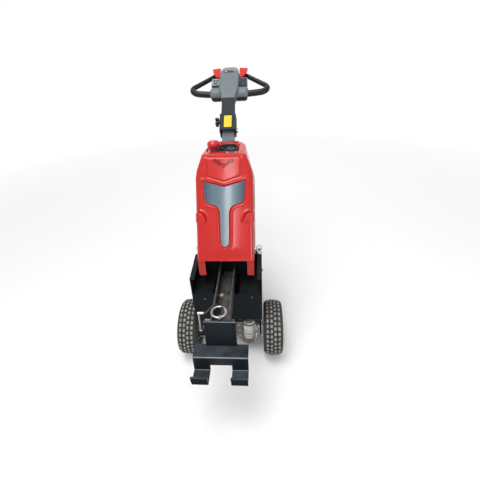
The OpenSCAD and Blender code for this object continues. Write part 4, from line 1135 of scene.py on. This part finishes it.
# %% Rims
HUB_EDGE, SPOKE_END = 16, 60
for side, name in SIDES:
    rim = stand_in("rim_" + name, "_machined", [rim_black, alloy_face], 30, 0.7)
    paint_faces(rim, lambda spot, way:
                side * way.x > 0.95 and HUB_EDGE < math.hypot(spot.y, spot.z - AXLE_Z) < SPOKE_END)
    outward = turned((side * WHEEL_X, 0, AXLE_Z), "Y", side * 90)
    fitting("wheel_nut_" + name, "wheel_" + name, bright_zinc,
            [cone(outward @ at(0, 0, 27), 11, 9, 6), cone(outward @ at(0, 0, 22), 14, 2.5, 28)],
            0.8, smooth=30)
    fitting("tyre_valve_" + name, "wheel_" + name, tyre_rubber,
            [cone(outward @ at(0, 45, 12), 3.2, 22, 12, 2.6)], 0.4)
    print(rim.name, sum(face.material_index for face in rim.data.polygons), "machined faces")

# %% [markdown]
# ## Casters and their lock levers
#
# A caster's roller is amber rubber bonded to a core, with a bearing in the middle. It is spun from
# its section in two finishes. The lock levers end in an orange ball that the foot pushes.

# %% Casters
HALF_ROLLER = [(5.6, 13.5), (13, 13.5), (14, 11), (28, 9.5), (31, 11.5), (33, 14.4), (35.5, 15), (38, 14),
               (39.5, 11.5), (40, 7)]
ROLLER = HALF_ROLLER + [(r, -x) for r, x in reversed(HALF_ROLLER)]
CORE_EDGE, BALL_EDGE = 30, 10.5
for side, name in SIDES:
    centre = Vector((side * 121, 356, 40))
    roller = place_piece(spun(ROLLER, 48), "caster_roller_" + name, f"caster_{name}_roller",
                         [caster_amber, case_cast], 35, ("caster_wheel_" + name,),
                         to_part @ Matrix.Translation(centre))
    paint_faces(roller, lambda spot, way: math.hypot(*(spot - centre).yz) < CORE_EDGE)
    lever = stand_in("lock_lever_" + name, "_painted", [panel_black, knob_orange])
    ball = Vector((side * 154, 384, 172.7))
    paint_faces(lever, lambda spot, way: (spot - ball).length < BALL_EDGE)
print("casters and levers placed")

# %% [markdown]
# ## Bolts and small fittings
#
# Fasteners tell how the machine is put together: two button heads hold the front panel, bolts with
# flat heads close the gear case, a ferrule ties the doubled rope. A blank yellow film marks the
# arm's front, a blank pale plate one side panel, and a pale disc in the head's window is a painted glint.

# %% Bolts and fittings
def dome_head(matrix, radius, height):
    """A bolt's low dome in two steps, standing along the matrix's Z axis."""
    low, edge = height * 0.6, radius * 0.8
    return [cone(matrix @ at(0, 0, low / 2), radius, low, 20, edge),
            cone(matrix @ at(0, 0, (low + height) / 2), edge, height - low, 20, radius * 0.45)]


def hex_head(matrix, radius, height):
    """A washer and a hexagon head along the matrix's Z axis."""
    return [cone(matrix @ at(0, 0, 0.6), radius * 1.3, 1.2, 20),
            cone(matrix @ at(0, 0, 1.2 + height / 2), radius, height, 6, radius * 0.94)]


domes, hexes, CASE_FRONT = [], [], -46
for x, y, z, radius in ((-99, -80, 388, 6), (110, -80, 399, 6), (-128, -50, 150, 5), (-128, -50, 215, 5),
                        (128, -50, 150, 5), (128, -50, 215, 5)):
    domes += dome_head(turned((x, y, z), "X", 90), radius, 3)
for x, z in ((129, 148), (117, 98), (102, 67), (70, 67), (44, 120), (40, 190), (44, 156)):
    hexes += hex_head(turned((x, CASE_FRONT, z), "X", 90), 4.2, 3.4)
fitting("panel_bolts", "machine", motor_black, domes)
fitting("gear_case_bolts", "machine", bright_zinc, hexes, 0.4, 1, 30)
fitting("rope_ferrule", "machine", axle_silver,
        [cone(turned((-17, -118, 446.5), "X", 90) @ Matrix.Diagonal((9.8, 4.6, 1, 1)), 1, 16, 24)], 0.8)
fitting("arm_label", "tiller", label_yellow, [block((36, 0.8, 63), at(1, -60.5, 13))],
        0.25, 1, 30, to_part @ ARM)
fitting("side_plate_blank", "machine", button_grey,
        [block((0.8, 104, 90), at(154.4, 293, 296))], 0.3, 1, 30)
# Painted glint: a pale disc in the head's window.
fitting("head_window_painted_glint", "tiller", eye_white, [disc((0, 0, 0), 4.2, 3, 20, 3)],
        frame=to_head @ turned((-17, -30, 188), "X", 90))
print("cones in the bolts", len(domes), len(hexes))

# %% [markdown]
# ## Floor and light
#
# A pale plain floor takes a soft shadow, and farther out it fades to the white of the background,
# both for the camera and in reflections, so that no horizon shows. Studio light for a glossy
# moulding is large and soft: a narrow upright light in front draws the long streak down the
# insert, broad ones above and behind keep the black frame readable, and a low one reaches the
# towing gear. The lights are part of the stage, so they stay out of the object's own pieces.

# %% Floor
def rays(start, *kinds):
    """1 for a ray of one of these kinds, 0 for the others."""
    found = [start.node("LightPath", output=kind) for kind in kinds]
    return sum(found[1:], found[0]).between(0, 1)


FLOOR_HALF, FADE_FROM, FADE_TO = 30, 1.6, 4.5
bm = bmesh.new()
bmesh.ops.create_grid(bm, x_segments=1, y_segments=1, size=FLOOR_HALF)
mesh = bpy.data.meshes.new("floor")
bm.to_mesh(mesh)
bm.free()
floor = linked("floor", mesh)
paint = finish("floor_paint", lambda place: {}, Base_Color=(0.8, 0.8, 0.8, 1), Roughness=0.75)
mesh.materials.append(paint)
tree = paint.node_tree
start = Wire(tree)
place = start.node("TexCoord", output="Object")
far = place.node("VectorMath", {"operation": "LENGTH"}, {0: place}, "Value").between(FADE_FROM, FADE_TO)
white = start.node("Emission", None, {"Color": (1, 1, 1, 1), "Strength": 1})
faded = start.node("MixShader", None, {0: far * rays(start, "Is Camera Ray", "Is Glossy Ray"), 2: white,
                                       1: Wire(tree, tree.nodes["Principled BSDF"].outputs["BSDF"])})
tree.links.new(faded.socket, tree.nodes["Material Output"].inputs["Surface"])
print("floor fades to white between", FADE_FROM, "and", FADE_TO, "m")


# %% Lights and world
def soft_light(name, place, aim, size, watts):
    """A rectangular light at a place in the part's frame, turned to its aim."""
    data = bpy.data.lights.new(name, "AREA")
    data.shape = "RECTANGLE"
    data.size, data.size_y = size
    data.energy = watts
    light = linked(name, data)
    light.matrix_world = (Matrix.Translation(place)
                          @ (Vector(aim) - Vector(place)).to_track_quat("-Z", "Y").to_matrix().to_4x4())


soft_light("overhead", (-0.4, -0.7, 3.2), (0, 0, 0.4), (1.3, 1.3), 34)
soft_light("behind", (0.3, 3.4, 2.9), (0, 0, 0.3), (3.4, 1.4), 28)
soft_light("streak", (-0.215, -3.3, 2.3), (0, 0, 0.8), (0.13, 1.9), 21)
soft_light("fill", (2.0, -1.7, 0.9), (0.1, -0.1, 0.25), (0.7, 0.7), 12)
wash = bpy.data.lights.new("wash", "SUN")
wash.energy, wash.angle = 1.8, math.radians(60)
wash_lamp = linked("wash", wash)
wash_lamp.matrix_world = (Matrix.Rotation(math.radians(24), 4, "X")
                          @ Matrix.Rotation(math.radians(-12), 4, "Y"))

world = bpy.data.worlds.new("studio")
bpy.context.scene.world = world
world.use_nodes = True
tree = world.node_tree
start = Wire(tree)
seen = rays(start, "Is Camera Ray", "Is Glossy Ray", "Is Transmission Ray")
glow = start.node("Background", None, {"Color": (0.97, 0.98, 1, 1), "Strength": 0.36})
white = start.node("Background", None, {"Color": (1, 1, 1, 1), "Strength": 1})
shown = start.node("MixShader", None, {0: seen, 1: glow, 2: white})
tree.links.new(shown.socket, tree.nodes["World Output"].inputs["Surface"])
bpy.context.scene.view_settings.view_transform = "Standard"
